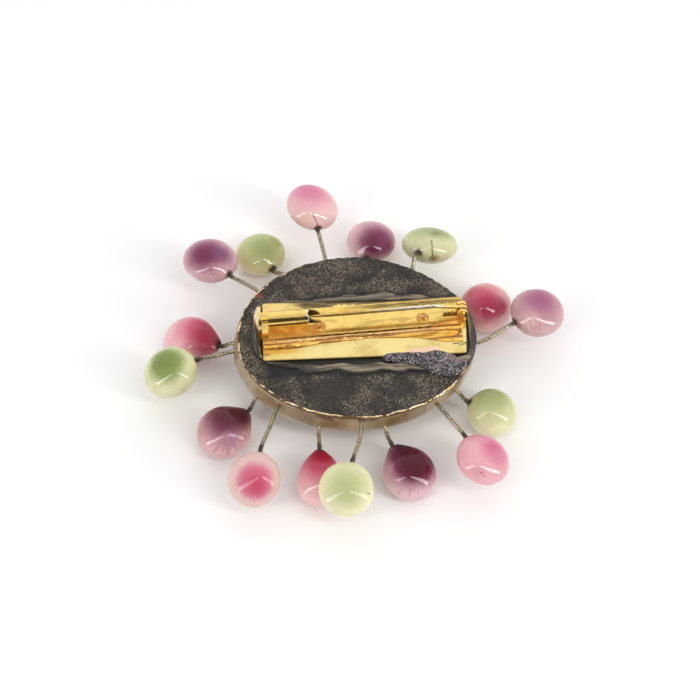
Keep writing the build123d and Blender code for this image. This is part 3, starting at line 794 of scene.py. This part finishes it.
def drop_finish(look, neck):
    """Glossy resin over clouds of colour, dark where the wire goes in."""
    middle, half = middle_of(look.node)

    def at(*shares):
        return tuple((middle[i] + half[i] * share) / MM for i, share in enumerate(shares))

    finish = Finish(
        look.node + "_resin",
        roughness=0.05,
        Subsurface_Weight=0.06,
        Subsurface_Radius=(1.0, 0.6, 0.55),
        Subsurface_Scale=0.0012,
        Specular_IOR_Level=0.32,
        Coat_Roughness=0.04,
    )
    front = (finish.part("Y") - middle.y / MM) / (half.y / MM)
    finish.set("Coat Weight", front.fall(-0.68, -0.42) * 0.85)
    uneven = finish.wobble(2.6, 0.5)
    mottle = finish.noise(0.5, 3.0) - 0.5
    drift = finish.noise(3.0, 2.0).ease(0.35, 0.7)
    finish.base(drift, look.rim, tuple(level * 0.95 for level in look.rim))
    for cloud in look.clouds:
        near = finish.distance(at(cloud.across, cloud.away, cloud.up), uneven) + mottle * 0.7
        mask = near.fall(cloud.size * cloud.firm, cloud.size) ** 0.75
        finish.paint(mask * cloud.strength, cloud.colour)
    for line in look.lines:
        start, end = at(*line.start), at(*line.end)
        mask = finish.arc(middle / MM, start, end, line.width, finish.wobble(0.9, 0.12))
        finish.paint(mask * 0.8, line.colour)
    burnt = finish.distance(tuple(neck / MM), uneven) + mottle * 0.8
    finish.paint(burnt.fall(0.4 * look.neck, 1.4 * look.neck) * 0.95, BURNT)
    veil = finish.noise(0.22, 3.0).ease(0.3, 0.75)
    finish.paint(0.16, finish.mix(veil, (214, 200, 200), (255, 255, 255)), "MULTIPLY")
    finish.bump(finish.noise(2.4, 1.0), 0.02)
    return finish


def neck_of(node, wire):
    """Where the wire goes into a drop, and the direction from the drop's middle to it."""
    middle, _ = middle_of(node)
    wire_middle, _ = middle_of(wire)
    corners = [vert.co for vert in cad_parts[node].data.vertices]
    nearest = min((co - wire_middle).length for co in corners)
    rim = [co for co in corners if (co - wire_middle).length < nearest + 0.6 * MM]
    neck = sum(rim, Vector()) / len(rim)
    return neck, (neck - middle).normalized()


def make_drop(look, wire):
    """A drop felt out from its solid, filled out a little beside its neck."""
    middle, _ = middle_of(look.node)
    neck, towards = neck_of(look.node, wire)
    tree = tree_of(look.node)
    cap, beyond = 9, 20 * MM
    bm = bmesh.new()
    turn = towards.to_track_quat("Z", "Y").to_matrix().to_4x4()
    bmesh.ops.create_uvsphere(bm, u_segments=56, v_segments=44, radius=1.0)
    for vert in bm.verts:
        tall = vert.co.normalized()
        out = (turn @ tall).normalized()
        polar = math.degrees(math.acos(max(-1, min(1, tall.z))))
        if polar < cap:
            around = Vector((tall.x, tall.y, 0))
            around = around.normalized() if around.length > 1e-6 else Vector((1, 0, 0))
            lean, inside = math.radians(cap), math.radians(cap - polar)
            probe = (turn @ (around * math.sin(lean) + UP * math.cos(lean))).normalized()
            hit = tree.ray_cast(middle + probe * beyond, -probe)[0]
            reach = (hit - middle).length * math.cos(inside * 0.5)
            reach = min((neck - middle).length, reach / max(0.96, math.cos(inside)))
        else:
            hit = tree.ray_cast(middle + out * beyond, -out)[0]
            reach = (hit - middle).length
        vert.co = middle + out * reach
    smooth(bm, 2)
    for vert in bm.verts:
        out = (vert.co - middle).normalized()
        polar = math.degrees(out.angle(towards))
        shoulder = span(polar, 6, 34, 44, 90) * look.shoulder
        vert.co += out * (shoulder + grain(vert.co, 5.0, 16) * 0.09) * MM
    piece = add_piece(look.node + "_poured", bm, drop_finish(look, neck), [look.node])
    rounding = piece.modifiers.new("rounding", "SUBSURF")
    rounding.levels = rounding.render_levels = 1
    return piece


# Wires


WIRE_STEP = 0.14
WIRE_TURN = 1.05
WIRE_SIDES = 18
# A wire's map gives the millimetres to its end in the drop as a share of this
WIRE_MAP = 20


def centre_line(node):
    """Points along the middle of a packed wire, from its end in the body to that in the drop."""
    tree = tree_of(node)
    corners = [vert.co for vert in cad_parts[node].data.vertices]
    start = min(corners, key=lambda co: Vector((co.x - BACK_MIDDLE.x, co.y - BACK_MIDDLE.y)).length)
    cap = [co for co in corners if (co - start).length < 0.72 * MM]
    far = max(corners, key=lambda co: (co - start).length)
    towards = (far - start).normalized()
    nearest = min(co.dot(towards) for co in cap)
    cap = [co for co in cap if co.dot(towards) < nearest + 0.4 * MM]
    place = sum(cap, Vector()) / len(cap) + towards * 0.3 * MM
    step = WIRE_STEP * MM
    points = []
    for _ in range(400):
        side = towards.orthogonal().normalized()
        for axis in (side, towards.cross(side)):
            ahead, behind = tree.ray_cast(place, axis)[0], tree.ray_cast(place, -axis)[0]
            if ahead is not None and behind is not None:
                place = (ahead + behind) / 2
        points.append(place)
        wall = tree.ray_cast(place, towards)[0]
        if wall is None or (wall - place).length < step * 1.5:
            break
        following = place + towards * step
        if len(points) > 4:
            towards = (towards * 0.6 + (place - points[-5]).normalized() * 0.4).normalized()
        place = following
    return points


def evened(points, times=60):
    """The same line with its bends evened out, its ends left alone."""
    for _ in range(times):
        inner = [(a + b * 2 + c) / 4 for a, b, c in zip(points, points[1:], points[2:])]
        points = points[:9] + inner[8:-8] + points[-9:]
    return points


def make_wire(number, finish):
    """Three strands twisted tight."""
    node = f"wire_{number:02d}"
    points = evened(centre_line(node))
    bm = bmesh.new()
    wire_map = bm.loops.layers.uv.new("along")
    twist = WIRE_STEP / WIRE_TURN * math.tau
    ring, from_drop = [], {}
    side = (points[1] - points[0]).normalized().orthogonal().normalized()
    for place, point in enumerate(points):
        before, after = points[max(0, place - 2)], points[min(len(points) - 1, place + 2)]
        along = (after - before).normalized()
        side = (side - along * side.dot(along)).normalized()
        other = along.cross(side)
        inside = (len(points) - 1 - place) * WIRE_STEP
        blob = span(inside, 1.7, 2.2, 2.3, 3.1)
        corners = []
        for turn in (math.tau * step / WIRE_SIDES for step in range(WIRE_SIDES)):
            strand = abs(math.cos((turn - twist * place) * 1.5)) ** 0.7
            reach = 0.24 + 0.12 * strand * (1 - 0.6 * blob) + 0.13 * blob
            corners.append(point + (side * math.cos(turn) + other * math.sin(turn)) * reach * MM)
        if not ring:
            ring = [bm.verts.new(corner) for corner in corners]
            edges = [bm.edges.new((ring[i - 1], ring[i])) for i in range(WIRE_SIDES)]
            bm.faces.new(ring)
        else:
            made = bmesh.ops.extrude_edge_only(bm, edges=edges)["geom"]
            fresh = {item for item in made if isinstance(item, bmesh.types.BMVert)}
            lines = [item for item in made if isinstance(item, bmesh.types.BMEdge)]
            edges = [line for line in lines if fresh.issuperset(line.verts)]
            pairs = [[line.other_vert(old) for line in old.link_edges] for old in ring]
            ring = [next(vert for vert in linked if vert in fresh) for linked in pairs]
            for vert, corner in zip(ring, corners):
                vert.co = corner
        from_drop.update((vert, inside) for vert in ring)
    bm.faces.new(ring)
    bmesh.ops.recalc_face_normals(bm, faces=bm.faces)
    for face in bm.faces:
        for loop in face.loops:
            loop[wire_map].uv = (from_drop[loop.vert] / WIRE_MAP, number / len(LOOKS))
    return add_piece(f"twisted_wire_{number:02d}", bm, finish, [node])


# Finishes of each kind


# Places of single marks, and lines from a start to an end
SMOOTH_AREAS = spot(-7.0, -11.6), spot(5.2, -12.2)
BACK_SCRATCH = spot(-1.7, -10.8), spot(0.5, -10.6)
RED_DAB = spot(-16.8, 9.06)
PINK_SMEAR = spot(7.6, -5.35, 0.6), spot(12.0, -5.2, 0.6)
LONG_CUT = spot(15.1, -4.35, 0.6), spot(17.5, -4.3, 0.6)
SHORT_CUT = spot(15.9, -4.75, 0.6), spot(17.5, -4.55, 0.6)
FINE_CUT = spot(-1.6, -1.8, 0.6), spot(-1.1, -2.9, 0.6)
KNOB_STAIN = spot(-17.6, -0.4, 1.9)
LILAC_GRAINS = spot(15.2, -6.9, 1.0)
BARE_PUTTY = spot(11.6, -9.4, 0.8), spot(12.6, -8.6, 0.9)
PINK_TIP = spot(15.7, -6.7, 0.9), spot(16.9, -8.2, 0.6)
RING_PLACE = -9.1
LENS_ALONG, LENS_SIDE = 15.2, -2.5
BACK_HEIGHT = BACK_TOP / MM


def charcoal_finish():
    """Nearly black, rubbed taupe on its high grains, with smoother dark areas."""
    finish = Finish("charcoal_grain")
    cloudy = finish.noise(4.2, 3.0, warp=0.6)
    grit = finish.noise(0.3, 3.0, roughness=0.7)
    uneven = finish.wobble(2.0, 1.2)
    left, right = (finish.distance(centre, uneven) for centre in SMOOTH_AREAS)
    calm = left.fall(1.8, 4.6).most(right.fall(1.0, 2.6))
    fine = finish.noise(0.2, 2.0, roughness=0.6)
    patches = cloudy.ease(0.34, 0.66) * (1 - calm * 0.85)
    single, _ = finish.grains(0.2)
    rubbed = (grit * 0.45 + fine * 0.2 + single * 0.35).ease(0.38, 0.72) * (0.14 + patches * 0.86)
    finish.base(finish.noise(1.0, 4.0), (20, 18, 17), (41, 38, 35))
    finish.paint(rubbed * 0.9, (126, 112, 94))
    fleck = finish.cells(0.5).fall(0.1, 0.24) * patches.ease(0.2, 0.8)
    finish.paint(fleck * 0.85, (184, 168, 142))
    speck = finish.cells(0.3).fall(0.07, 0.16) * patches
    finish.paint(speck * 0.7, (176, 162, 138))
    along, side, _ = finish.bar_directions()
    bend = (along + 2.0) / 16.0
    beside = (side + bend * bend * 2.2 - 7.45).most(-7.9 - along * 0.07 - side)
    smoothed = (beside + (cloudy - 0.5) * 0.9).fall(0.4, 1.3) * along.size().fall(15.5, 17.5)
    finish.paint(smoothed * 0.92, (25, 24, 23))
    scratch = finish.line(*BACK_SCRATCH, 0.16)
    finish.paint(scratch * 0.8, (14, 13, 12))
    wall = finish.part("Z").fall(BACK_HEIGHT - 0.42, BACK_HEIGHT - 0.24)
    finish.paint(wall * 0.9, (132, 102, 66))
    red = finish.distance(RED_DAB, finish.wobble(0.5, 0.2)).fall(0.3, 0.55)
    finish.paint(red * 0.8, (150, 46, 34))
    finish.set("Roughness", 0.8 - rubbed * 0.35 - calm * 0.15)
    finish.bump(grit, 0.09)
    return finish


def band_finish():
    """Cloudy taupe resin, glossy, with brown runs below the wires and a few gold specks."""
    finish = Finish("taupe_cast_resin", Coat_Weight=0.8, Coat_Roughness=0.08)
    x, z = finish.part("X"), finish.part("Z")
    streaky = finish.noise(1.1, 3.0, finish.stretched(2.4, 2.4, 6.0))
    broad = finish.noise(5.0, 2.0)
    finish.base(streaky.ease(0.3, 0.72), (128, 105, 70), (154, 131, 92))
    finish.paint(broad.ease(0.45, 0.65) * 0.6, (168, 148, 112))
    # Painted highlight: the band is lighter towards its left side.
    finish.paint(x.fall(-20, -12) * 0.5, (174, 154, 118))
    runs = finish.noise(1.5, 2.0, finish.stretched(1.0, 1.0, 7.0))
    rust = runs.ease(0.55, 0.7) * z.ease(3.5, 7.0)
    finish.paint(rust * 0.4, (96, 66, 36))
    fleck = finish.cells(0.8).fall(0.05, 0.12)
    finish.paint(fleck, (224, 192, 116))
    under = z.ease(9.3, 9.9) * finish.noise(3.4, 3.0).ease(0.5, 0.62)
    finish.paint(under * 0.75, (76, 42, 26))
    finish.set("Roughness", 0.24 + streaky * 0.2)
    finish.bump(finish.noise(1.0, 3.0), 0.03)
    return finish


def rim_finish():
    """Gold leaf worn through in places, with painted whitish highlights."""
    finish = Finish("worn_leaf", metallic=1.0)
    offset = finish.vector("SUBTRACT", finish.place, tuple(BACK_MIDDLE / MM))
    upper_left = finish.part("Y", offset).ease(0.0, 6.0) * 0.06
    cloudy = finish.noise(2.6, 4.0) * 0.7 + finish.noise(0.6, 2.0) * 0.3
    worn = (cloudy + upper_left).ease(0.49, 0.56)
    # Painted highlights: the noise below runs the leaf's colour up to near white, and also gives
    # its relief.
    bright = finish.noise(0.4, 3.0)
    finish.base(bright.ease(0.35, 0.65), (218, 180, 108), (255, 246, 218))
    finish.paint(worn, (98, 70, 42))
    lower = finish.part("Z").fall(BACK_HEIGHT - 0.24, BACK_HEIGHT - 0.08)
    finish.paint(lower * 0.8, (146, 106, 62))
    finish.set("Metallic", 1 - worn.most(lower) * 0.8)
    finish.set("Roughness", 0.22 + worn.most(lower) * 0.4)
    finish.bump(bright, 0.06)
    return finish


def putty_finish():
    """Taupe where it is pressed up, painted shade making it nearly black in the crevice, with fine
    drawn lines.
    """
    finish = Finish("pressed_putty")
    height = finish.part("Z") + (finish.noise(0.6, 3.0) - 0.5) * 0.14
    along, side, _ = finish.bar_directions()
    round_end = along.size().ease(17.2, 17.9)
    drawn = finish.drawn(0.5, 3.0, 16)
    turned = finish.drawn(0.4, 3.0, 1, across=16)
    lines = drawn * (1 - round_end) + turned * round_end
    finish.base(lines.ease(0.36, 0.64), (92, 82, 68), (146, 132, 110))
    scar = finish.drawn(1.3, 4.0, 4).ease(0.56, 0.66)
    finish.paint(scar * 0.7, (52, 47, 42))
    low_left = along.fall(-11.0, -2.0) * side.fall(-4.0, 0.0) * lines.fall(0.5, 0.66)
    high_left = along.fall(-4.0, 2.0) * side.ease(3.0, 5.0) * 0.35
    ends = round_end * lines.fall(0.46, 0.62).most(0.35)
    dark = low_left.most(high_left).most(ends)
    finish.paint(dark * 0.85, (38, 35, 32))
    # Painted shade: the lower the putty, the darker, nearly black in the crevice.
    finish.paint(height.fall(11.14, 11.42), (27, 25, 24))
    finish.set("Roughness", 0.42 + scar * 0.25)
    finish.bump(lines, 0.06)
    return finish


def sheet_finish():
    """Pale gold sheet, flaky along its top edge, with stains, a smear and fine lines."""
    finish = Finish("backing_sheet_gold", metallic=1.0)
    along, side, _ = finish.bar_directions()
    scratch = finish.drawn(0.12, 2.0, 30)
    dull = finish.noise(3.5, 3.0).ease(0.45, 0.75)
    ragged = finish.noise(0.7, 4.0) - 0.5
    finish.base(dull, (244, 222, 150), (222, 196, 124))
    finish.paint(along.fall(-17, -9) * 0.4, (226, 178, 88))
    pool = (along + ragged * 2.5).fall(-13.0, -9.0) * (side + ragged * 0.8).ease(-4.0, -3.3)
    pool = pool * side.fall(-0.5, 0.0)
    spots = finish.drawn(0.7, 3.0, 2).ease(0.56, 0.64)
    stain = finish.mix(spots, (230, 172, 66), (140, 88, 26))
    finish.paint(pool * 0.8, stain)
    inside = SHEET_HIGH - along * HIGH_SLOPE - side + ragged * 0.9
    olive_streak = along.span(-11.5, -9.5, -5.5, -3.5)
    bare = inside - olive_streak * 0.65 - along.ease(-3, 5) * 0.4
    flakes = along.ease(-12.5, -9.0) * bare.fall(0.42, 0.66)
    threads = finish.drawn(0.16, 2.0, 20).ease(0.42, 0.62)
    finish.paint(flakes * 0.92, finish.mix(threads, (62, 52, 38), (146, 124, 82)))
    smear = finish.line(*PINK_SMEAR, 1.0, finish.wobble(0.9, 0.35)).ease(0.15, 0.3)
    finish.paint(smear * 0.9, (248, 210, 184))
    cut_place = finish.wobble(0.5, 0.08)
    long_cut = finish.line(*LONG_CUT, 0.16, cut_place)
    short_cut = finish.line(*SHORT_CUT, 0.12, cut_place)
    cuts = long_cut.most(short_cut).most(finish.line(*FINE_CUT, 0.08) * 0.6)
    finish.paint(cuts.ease(0.12, 0.45) * 0.9, (74, 50, 20))
    edge = side + SHEET_LOW + along * LOW_SLOPE + ragged * 0.3
    finish.paint(edge.fall(0.05, 0.25) * 0.6, (150, 112, 54))
    finish.set("Metallic", 1 - smear * 0.9 - flakes * 0.5)
    finish.set("Roughness", 0.16 + dull * 0.14 + scratch * 0.1 + flakes * 0.4 + smear * 0.4)
    finish.bump(finish.noise(4.0, 2.0), 0.1)
    finish.bump(scratch, 0.008)
    finish.bump(flakes * ragged, 0.12)
    return finish


def bar_finish():
    """Bright gold, with the catch's silvery end ring, painted shade inside its scoop and a painted
    reflection of the barrel under it.
    """
    finish = Finish("bar_gold", metallic=1.0)
    along, side, height = finish.bar_directions()
    scratch = finish.drawn(0.12, 2.0, 30)
    dull = finish.noise(2.5, 3.0).ease(0.45, 0.8)
    finish.base(dull, (246, 212, 124), (226, 184, 94))
    axis_height = (middle_of("pump")[0].z - BACK_TOP) / MM
    above, beside = height - axis_height, side - PIN_SIDE
    radius = (above * above + beside * beside) ** 0.5
    tube = along.span(-16.2, -16.0, -6.3, -6.2) * radius.fall(1.5, 1.6)
    ring = (along - RING_PLACE).size().fall(0.1, 0.26) * tube
    finish.paint(ring * 0.9, (240, 236, 226))
    scoop = tube * along.ease(-9.0, -8.8) * above.ease(-0.7, -0.4)
    # Painted shade: nearly black inside the scoop.
    finish.paint(scoop * radius.fall(1.25, 1.36) * 0.9, (52, 38, 22))
    finish.paint(scoop * radius.ease(1.25, 1.36) * 0.6, (206, 196, 170))
    # Dark brown streaks along the bar's lower sides.
    dark_streaks = finish.drawn(0.9, 3.0, 5).ease(0.5, 0.64)
    foot = height.fall(1.36, 1.5) * dark_streaks
    finish.paint(foot * 0.7, (92, 62, 22))
    ragged = finish.noise(0.8, 4.0) - 0.5
    threads = finish.drawn(0.16, 2.0, 20).ease(0.4, 0.62)
    edge = side + along * 0.012 + ragged * 0.5
    flakes = edge.ease(3.5, 3.75) * (1 - edge.ease(4.25, 4.5) * 0.75) * along.ease(-3.0, 3.0)
    flakes = flakes * height.ease(0.9, 1.2)
    finish.paint(flakes * 0.9, finish.mix(threads, (84, 68, 40), (178, 148, 84)))
    rise = ((along - 11.0) * 0.3 - 0.95).least(0.55) + ragged * 0.3
    film = along.span(9.0, 11.0, 17.2, 17.6) * (side - rise).fall(-0.12, 0.05)
    amber = finish.mix(threads, (214, 136, 42), (246, 192, 98))
    finish.paint(film * 0.85, amber)
    brink = (side - rise).size().fall(0.05, 0.2) * film.ease(0.0, 0.4) * along.fall(13.0, 15.0)
    finish.paint(brink * 0.75, (104, 70, 26))
    # Painted reflection: warm orange on the bar under the barrel, standing in for the barrel's
    # reflection.
    under = along.span(-16.0, -15.8, -8.0, -6.0) * above.fall(-0.9, -0.6)
    under = under * side.fall(1.2, 1.4) * side.ease(-1.6, -0.4)
    painted_reflection = finish.mix(finish.noise(1.4, 2.0).ease(0.35, 0.7), (220, 152, 54), (248, 204, 108))
    finish.paint(under * 0.8, painted_reflection)
    finish.set("Metallic", 1 - under * 0.4 - flakes * 0.3 - film * 0.35)
    finish.set("Roughness", 0.12 + dull * 0.12 + scratch * 0.06 + under * 0.25 + flakes * 0.3)
    finish.bump(scratch, 0.006)
    finish.bump(finish.noise(3.0, 2.0), 0.03)
    return finish


def stem_finish():
    """Steel, its gold plate kept towards the tip."""
    finish = Finish("stem_steel", metallic=1.0)
    along, side, _ = finish.bar_directions()
    scratch = finish.drawn(0.16, 3.0, 16)
    stain = finish.drawn(1.6, 3.0, 3).ease(0.5, 0.72)
    finish.base(along.ease(-2.0, 10.0), (226, 190, 104), (228, 220, 196))
    finish.paint(stain * 0.6, (150, 112, 58))
    finish.paint(along.ease(13.2, 15.0), (244, 204, 110))
    tail = along.ease(10.0, 10.6) * (side - PIN_SIDE).fall(-0.75, -0.5)
    finish.paint(tail, finish.mix(scratch.ease(0.4, 0.6), (232, 182, 84), (120, 76, 24)))
    shaded = (side - PIN_SIDE).fall(-0.32, -0.16)
    finish.paint(shaded * (1 - tail) * 0.4, (84, 62, 34))
    finish.set("Roughness", 0.14 + scratch * 0.14 + stain * 0.2)
    finish.bump(scratch, 0.012)
    return finish


def pump_finish():
    """A pale plated knob on a gold neck, with a red-brown stain low down."""
    finish = Finish("pump_plate", metallic=1.0)
    along, _, _ = finish.bar_directions()
    scratch = finish.noise(0.2, 3.0)
    low_stain = finish.distance(KNOB_STAIN, finish.wobble(0.8, 0.4))
    finish.base(scratch.ease(0.4, 0.7), (242, 222, 168), (226, 202, 146))
    finish.paint(along.ease(-17.3, -16.9), (244, 200, 96))
    finish.paint(low_stain.fall(0.2, 0.9) * 0.7, (168, 92, 60))
    finish.set("Roughness", 0.12 + scratch * 0.14)
    finish.bump(scratch, 0.02)
    return finish


GLUE = {"Specular_IOR_Level": 0.2, "Coat_Weight": 0.6}


def seam_finish():
    """Tan along its upper half and orange brown along its lower, drawn out in fine lines."""
    finish = Finish("seam_amber", roughness=0.12, Coat_Roughness=0.04, **GLUE)
    along, side, _ = finish.bar_directions()
    lines = finish.drawn(0.5, 3.0, 14, warp=0.3)
    ragged = finish.noise(1.2, 3.0) - 0.5
    ends = along.ease(11.0, 16.0) * 0.9 + along.fall(-16.5, -11.0) * 0.6
    across = side + 1.75 - ends + ragged * 0.5
    tan = finish.mix(lines.ease(0.42, 0.58), (184, 126, 64), (246, 200, 128))
    orange = finish.mix(lines.ease(0.42, 0.56), (160, 98, 26), (250, 196, 86))
    finish.base(across.ease(-0.3, 0.1), orange, tan)
    fleck = finish.drawn(0.5, 3.0, 2.5).ease(0.56, 0.66)
    dirty = along.fall(-15.0, -9.0) * 0.8 + 0.25
    finish.paint(fleck * dirty * (1 - across.ease(-0.3, 0.2) * 0.6), (116, 66, 18))
    past = along - LENS_ALONG
    lens_along, lens_side = past / 1.35, (side - LENS_SIDE - past * 0.15) / 0.62
    lens = (lens_along * lens_along + lens_side * lens_side) ** 0.5 + ragged * 0.25
    finish.paint(lens.fall(1.0, 1.2) * lens_along.ease(-1.2, 0.4) * 0.85, (96, 58, 16))
    finish.paint(lens.fall(0.72, 0.84), (236, 166, 52))
    dark_line = (across - 0.82).size().fall(0.08, 0.3)
    finish.paint(dark_line * lines.ease(0.25, 0.5) * 0.75, (98, 62, 26))
    finish.set("Metallic", 0.3 + across.ease(-0.5, 0.2) * 0.2)
    finish.bump(lines, 0.1)
    return finish


def dome_finish():
    """Amber glass-like glue, dark round its foot, with small bubbles."""
    finish = Finish("dome_amber", roughness=0.06, metallic=0.25, Coat_Roughness=0.03, **GLUE)
    flat = finish.vector("MULTIPLY", finish.place, (1, 1, 0))
    feet = [middle_of("glue_plug_" + side)[0] / MM for side in ("left", "right")]
    left, right = (finish.distance((foot.x, foot.y, 0), flat) for foot in feet)
    near = left.least(right)
    mottle = finish.noise(0.6, 3.0)
    finish.base(mottle.ease(0.4, 0.62), (178, 114, 46), (230, 176, 88))
    bubbles = finish.cells(0.4).fall(0.08, 0.2)
    finish.paint(bubbles * 0.6, (140, 86, 44))
    finish.paint(near.ease(0.72, 0.9) * 0.7, (226, 164, 58))
    finish.paint(near.ease(0.95, 1.08) * 0.8, (118, 72, 22))
    finish.bump(mottle, 0.1)
    return finish


def grit_finish():
    """Dark grains among painted white glints and lilac grains, taupe where putty shows, pink at its
    tip.
    """
    finish = Finish("crushed_grit")
    shine, hue = finish.grains(0.2)
    finish.base(shine.ease(0.2, 0.9), (34, 32, 33), (126, 120, 120))
    # Painted glints: some grains are painted near white.
    finish.paint(hue.ease(0.78, 0.95) * 0.8, (214, 206, 214))
    lilac = finish.distance(LILAC_GRAINS, finish.wobble(1.2, 0.8))
    finish.paint(lilac.fall(0.8, 2.4) * 0.5, (176, 146, 150))
    putty = finish.line(*BARE_PUTTY, 0.7, finish.wobble(0.8, 0.5))
    finish.paint(putty.ease(0.1, 0.5) * 0.75, (150, 134, 114))
    tip = finish.line(*PINK_TIP, 0.9, finish.wobble(0.8, 0.3))
    finish.paint(tip.ease(0.2, 0.55) * 0.85, (244, 206, 214))
    finish.set("Metallic", shine.ease(0.5, 0.9) * 0.5)
    finish.set("Roughness", 0.15 + hue * 0.35)
    return finish


def wire_finish():
    """Greyed wire with gold left in places, burnt dark where it enters a drop."""
    finish = Finish("twisted_wire", roughness=0.3, metallic=0.85)
    from_drop = finish.part("X", finish.node("TexCoord", output="UV")) * WIRE_MAP
    fleck = finish.noise(0.6, 3.0).ease(0.54, 0.66)
    dirt = finish.noise(0.25, 3.0).ease(0.42, 0.66)
    finish.base(dirt, (176, 168, 146), (86, 77, 62))
    finish.paint(fleck * 0.6, (196, 156, 82))
    burnt = (from_drop + finish.noise(0.5, 2.0) * 0.8).fall(3.0, 4.0)
    finish.paint(burnt * 0.95, (50, 32, 20))
    finish.set("Metallic", 0.85 - burnt * 0.75)
    finish.bump(finish.noise(0.2, 2.0), 0.01)
    return finish


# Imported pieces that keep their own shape
gold_bar = bar_finish()
PAINTED = {
    "backing_sheet": sheet_finish(),
    "pin_bar": gold_bar,
    "hinge_rivet": gold_bar,
    "pin_stem": stem_finish(),
    "pump": pump_finish(),
}
for node, finish in PAINTED.items():
    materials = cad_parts[node].data.materials
    materials.clear()
    materials.append(finish.material)

make_body(band_finish())
make_back(charcoal_finish())
make_rim(rim_finish())
make_bed(putty_finish())
make_seam(seam_finish())
amber = dome_finish()
make_dome("left", amber)
make_dome("right", amber)
make_grit(grit_finish())
twisted = wire_finish()
for number, look in enumerate(LOOKS, start=1):
    make_drop(look, f"wire_{number:02d}")
    make_wire(number, twisted)


# Floor, lights and camera


def make_floor():
    """A plain pale floor."""
    bm = bmesh.new()
    bmesh.ops.create_grid(bm, x_segments=2, y_segments=2, size=3)
    floor = put("floor", mesh_of("floor", bm))
    finish = Finish("white_sweep", roughness=0.9)
    finish.base(finish.noise(400, 2.0), (250, 250, 250), (253, 253, 252))
    floor.data.materials.append(finish.material)


# Long soft lights, each between two directions from the object and nearer at its end
Strip = namedtuple("Strip", "name start end width power colour")
STRIPS = [
    Strip("strip_left", (-0.1, -0.36, 0.93), (-0.9, -0.46, 0.05), 0.08, 1.35, (1.0, 0.97, 0.97)),
    Strip("strip_right", (0.14, -0.33, 0.93), (0.94, -0.34, 0.05), 0.085, 2.1, (1.0, 0.99, 0.97)),
]
STRIP_START, STRIP_END = 1.1, 0.5


def add_strip(strip):
    """Hangs up one long light that faces the object."""
    first = Vector(strip.start).normalized() * STRIP_START
    second = Vector(strip.end).normalized() * STRIP_END
    middle = (first + second) / 2
    lamp = bpy.data.lights.new(strip.name, "AREA")
    lamp.shape = "RECTANGLE"
    lamp.size, lamp.size_y = (second - first).length, strip.width
    lamp.energy, lamp.color = strip.power, strip.colour
    along = (second - first).normalized()
    facing = -middle.normalized()
    facing = (facing - along * facing.dot(along)).normalized()
    turn = Matrix((along, (-facing).cross(along), -facing)).transposed()
    placed = put(strip.name, lamp)
    placed.matrix_world = Matrix.Translation(middle) @ turn.to_4x4()
    placed.visible_camera = False


# The room's light, and the dark of the room round the camera
ROOM_LIGHT = 0.82
ROOM_FRONT, ROOM_BACK = (0.76, 0.758, 0.76, 1.0), (1.36, 1.36, 1.37, 1.0)
ROOM_DARK = (0.06, 0.055, 0.05, 1.0)
TO_CAMERA = (0.0, -0.79, 0.61)
DARK_REACH = 34, 22


def light_room():
    """Pale all round, with the dark of the room round the camera."""
    world = bpy.data.worlds.new("studio")
    bpy.context.scene.world = world
    world.use_nodes = True
    room = Nodes(world.node_tree)
    toward = room.node("TexCoord", output="Generated")
    outer, inner = (math.cos(math.radians(degrees)) for degrees in DARK_REACH)
    lit = room.mix(room.part("Y", toward).ease(-0.5, 0.8), ROOM_FRONT, ROOM_BACK)
    shade = room.mix(room.dot(TO_CAMERA, toward).ease(outer, inner), lit, ROOM_DARK)
    background = world.node_tree.nodes["Background"]
    room.fill(background.inputs["Color"], shade)
    room.fill(background.inputs["Strength"], ROOM_LIGHT)


make_floor()
for strip in STRIPS:
    add_strip(strip)
light_room()

# The camera looks down at the photograph's angle.
AIM = Vector((-0.892, 0.655, 5.0)) * MM
STAND = Vector((-0.892, -260.8, 407.6)) * MM
FOCAL_LENGTH, SENSOR = 143.5, 36.0
camera = put("camera", bpy.data.cameras.new("camera"))
camera.location = STAND
camera.rotation_euler = (AIM - STAND).to_track_quat("-Z", "Y").to_euler()
camera.data.lens = FOCAL_LENGTH
camera.data.sensor_width = SENSOR
camera.data.clip_start = 0.01
bpy.context.scene.camera = camera
bpy.context.scene.view_settings.view_transform = "Standard"
